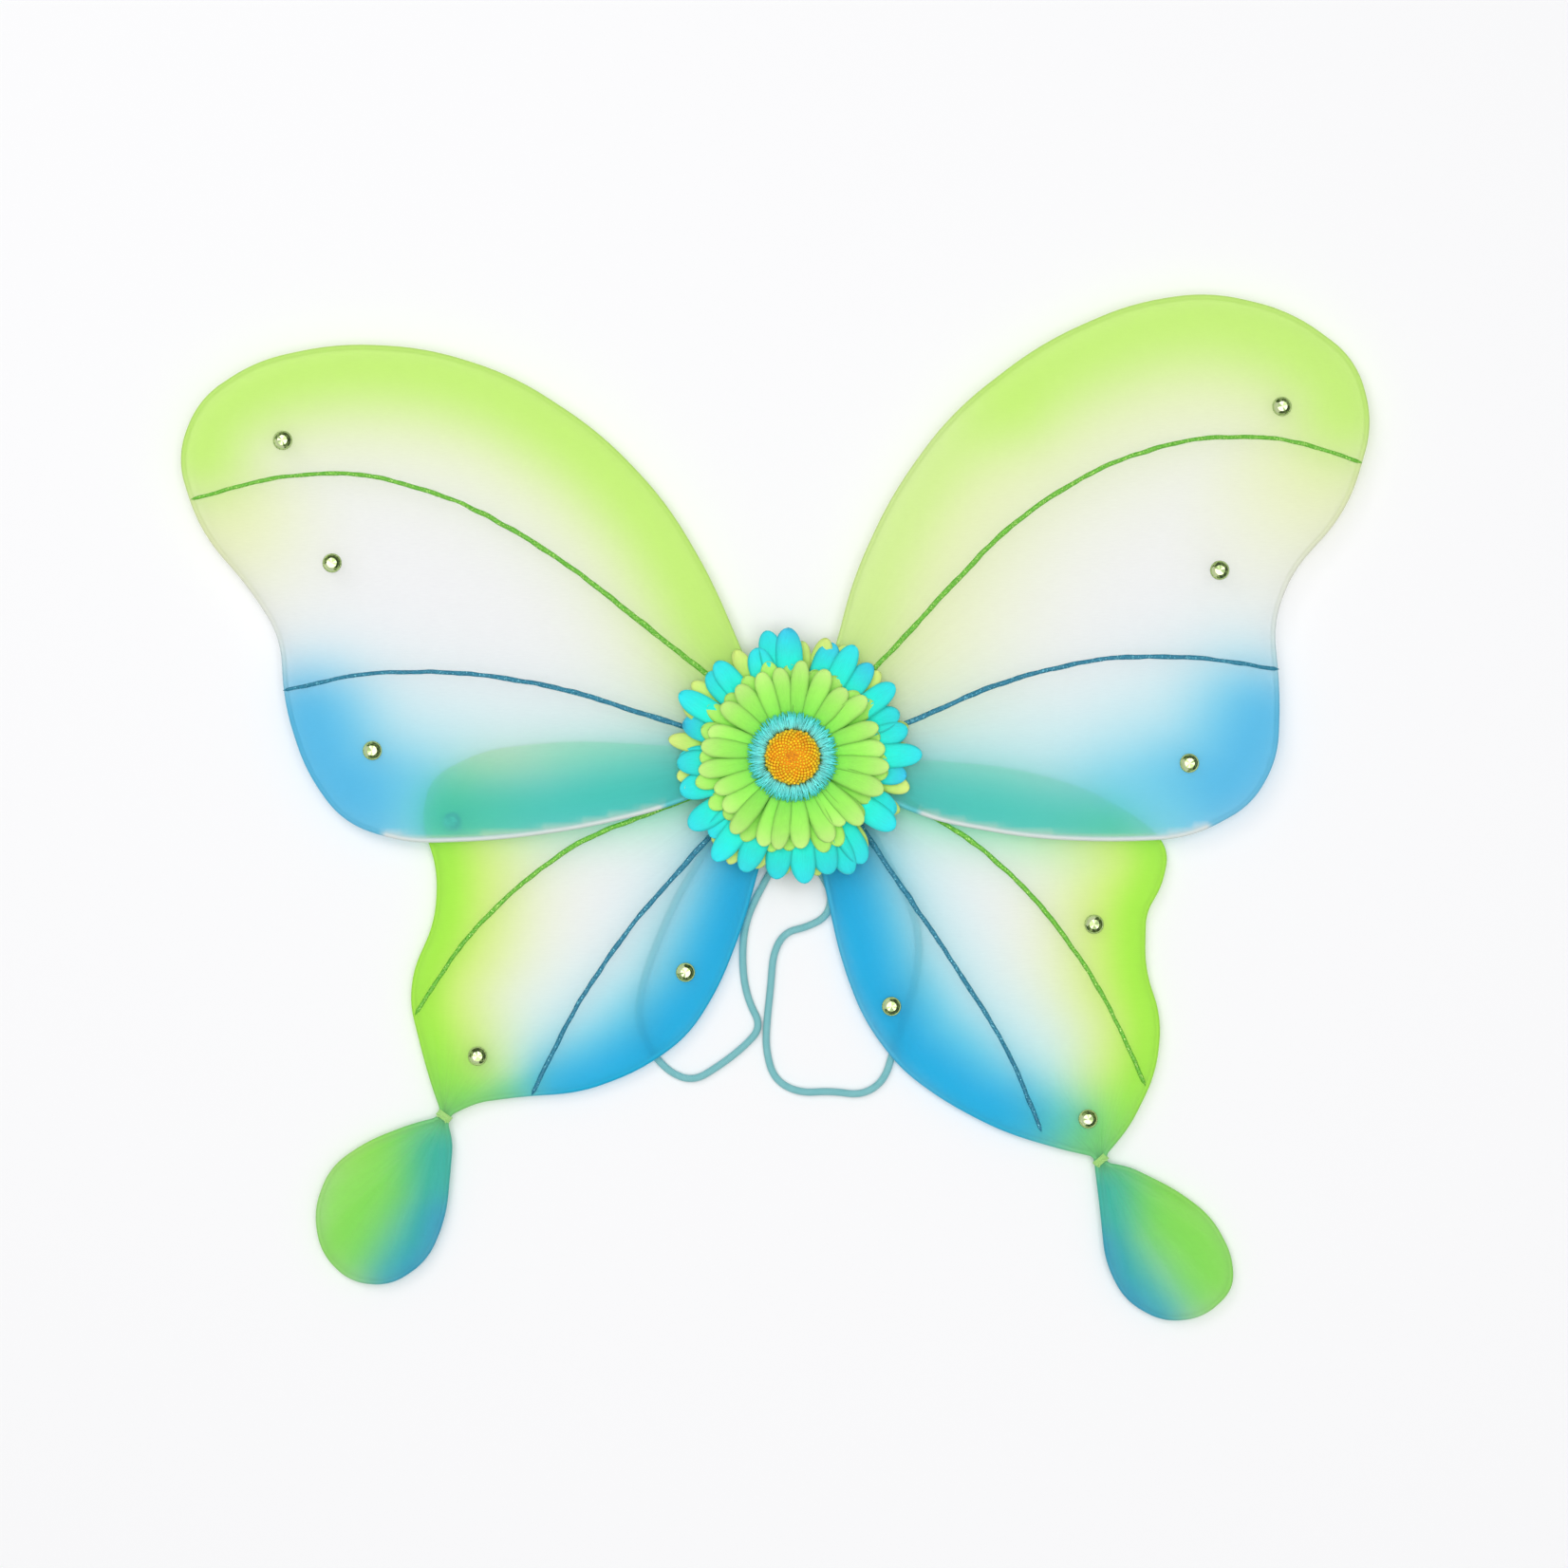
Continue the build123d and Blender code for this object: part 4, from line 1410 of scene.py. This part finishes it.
def add_centre(material):
    """The flower's centre: a dome packed with small seeds in spirals."""
    low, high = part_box("flower_centre")
    radius = high.x
    rise = high.z - low.z
    rng = random.Random(7)
    parts, colours = [], []

    def dome(r):
        return low.z + rise * (0.55 + 0.36 * (1 - (r / radius) ** 2)) - 0.3 * MM

    for index in range(SEED_COUNT):
        share = math.sqrt((index + 0.5) / SEED_COUNT)
        r = share * (radius - 0.5 * MM)
        angle = index * GOLDEN_ANGLE
        size = (0.46 + 0.2 * share) * MM * rng.uniform(0.85, 1.15)
        centre = Vector((r * math.cos(angle), r * math.sin(angle),
                         dome(r) + rng.uniform(-0.15, 0.2) * MM))
        parts.append(ball(centre, size, size * 1.25, 8, 5))
        if share < 0.2:
            colour = BROWN
        elif share > 0.9:
            colour = OLIVE if rng.random() < 0.5 else GOLD
        else:
            colour = GOLD if rng.random() < 0.6 else AMBER
        shade = rng.uniform(0.82, 1.08)
        colours += [(*(shade * c for c in colour[:3]), 1)] * len(parts[-1][0])
    parts.append(ball(Vector((0, 0, low.z)), radius * 0.97, rise * 0.72, 40, 14))
    colours += [CORE_ORANGE] * len(parts[-1][0])
    points, faces = merged(parts)
    points = [(x, y, max(z, low.z)) for x, y, z in points]
    piece = add_piece("seed_button", points, faces, material)
    add_values(piece, "tint", colours)
    settle(piece, "hub", "centre", "flower_centre")


def ball(centre, radius, height, around, levels):
    """Points and faces of a closed ellipsoid: rings between two poles."""
    rings = []
    for level in range(1, levels):
        lean = math.pi * level / levels - math.pi / 2
        z = centre.z + height * math.sin(lean)
        rings.append(level_circle(centre, radius * math.cos(lean), z, around))
    points, faces = rings_to_mesh(rings, capped=False)
    last, bottom, top = len(points) - around, len(points), len(points) + 1
    points += [(centre.x, centre.y, centre.z - height), (centre.x, centre.y, centre.z + height)]
    for i in range(around):
        j = (i + 1) % around
        faces += [(bottom, j, i), (last + i, last + j, top)]
    return points, faces


def add_flower_base(material):
    """Felt disc behind the petals."""
    low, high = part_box("flower_base")
    rings = []
    for rise, share in ((0.0, 0.985), (0.25, 1.0), (0.75, 1.0), (1.0, 0.985)):
        z = low.z + rise * (high.z - low.z)
        rings.append(level_circle((0, 0), high.x * share, z, DISC_SIDES))
    piece = add_piece("felt_disc", *rings_to_mesh(rings), material)
    settle(piece, "hub", "felt", "flower_base")


# ---- assembly ----


def add_floor():
    """Pale floor that the wings lie on."""
    half = FLOOR_SIZE / 2
    height = CAD_BOX[0][2] - FLOOR_DROP
    corners = [(-half, -half), (half, -half), (half, half), (-half, half)]
    found, _ = new_material("floor")
    principled(found, {"Base Color": FLOOR_COLOUR, "Roughness": 0.9})
    floor = add_piece("floor", [(x, y, height) for x, y in corners], [(0, 1, 2, 3)], found)


def add_wings():
    """Nylon, wires, veins, gems and ties of all four wings."""
    wire = wire_material()
    stone, setting = gem_material(), bezel_material()
    glitter = {
        colour: glitter_material(colour + "_glitter_glue", *shades)
        for colour, shades in VEIN_COLOURS.items()
    }
    thread = cloth_material("pale_thread", linear(142, 212, 92), linear(210, 243, 168),
                            0.25 * MM, 0.05 * MM)
    for number, wing in enumerate(WINGS):
        rim, height = add_nylon(wing, nylon_material(wing + "_dyed_nylon"))
        add_wire(wing, rim, height, wire)
        for offset, colour in enumerate(("green", "blue")):
            add_vein(wing, colour, glitter[colour], 2 * number + offset)
        for gem in (1, 2, 3):
            add_gem(f"{wing}_gem_{gem}", wing + "_wing", stone, setting, 10 * number + gem)
        if wing.startswith("lower"):
            add_tail_tie(wing, thread)


def add_hub():
    """Pad, binding and flower."""
    felt = cloth_material("lime_felt", linear(120, 176, 48), linear(186, 226, 104), 0.9 * MM,
                          0.2 * MM, sheen=0.5, roughness=0.9, grain=900)
    tape = cloth_material("green_tape", linear(74, 128, 44), linear(140, 190, 88), 0.45 * MM,
                          0.15 * MM, grain=700)
    add_pad(felt)
    add_binding(tape)
    add_flower_base(felt)
    petals = petal_material("petal_cloth")
    for seed, name in enumerate(FLOWER):
        slot = "turquoise_petal" if name == "outer_petals" else "lime_petal"
        add_petal_ring(name, petals, seed + 3, slot)
    add_fringe(fringe_material())
    add_centre(seed_material())


def add_straps():
    """Both elastic straps and their knots."""
    elastic = elastic_material()
    for side in ("left", "right"):
        add_strap(side, elastic)
        for end in ("lower", "upper"):
            add_knot(f"{side}_strap_{end}_knot", elastic)


add_camera()
add_studio()
add_floor()
add_straps()
add_wings()
add_hub()
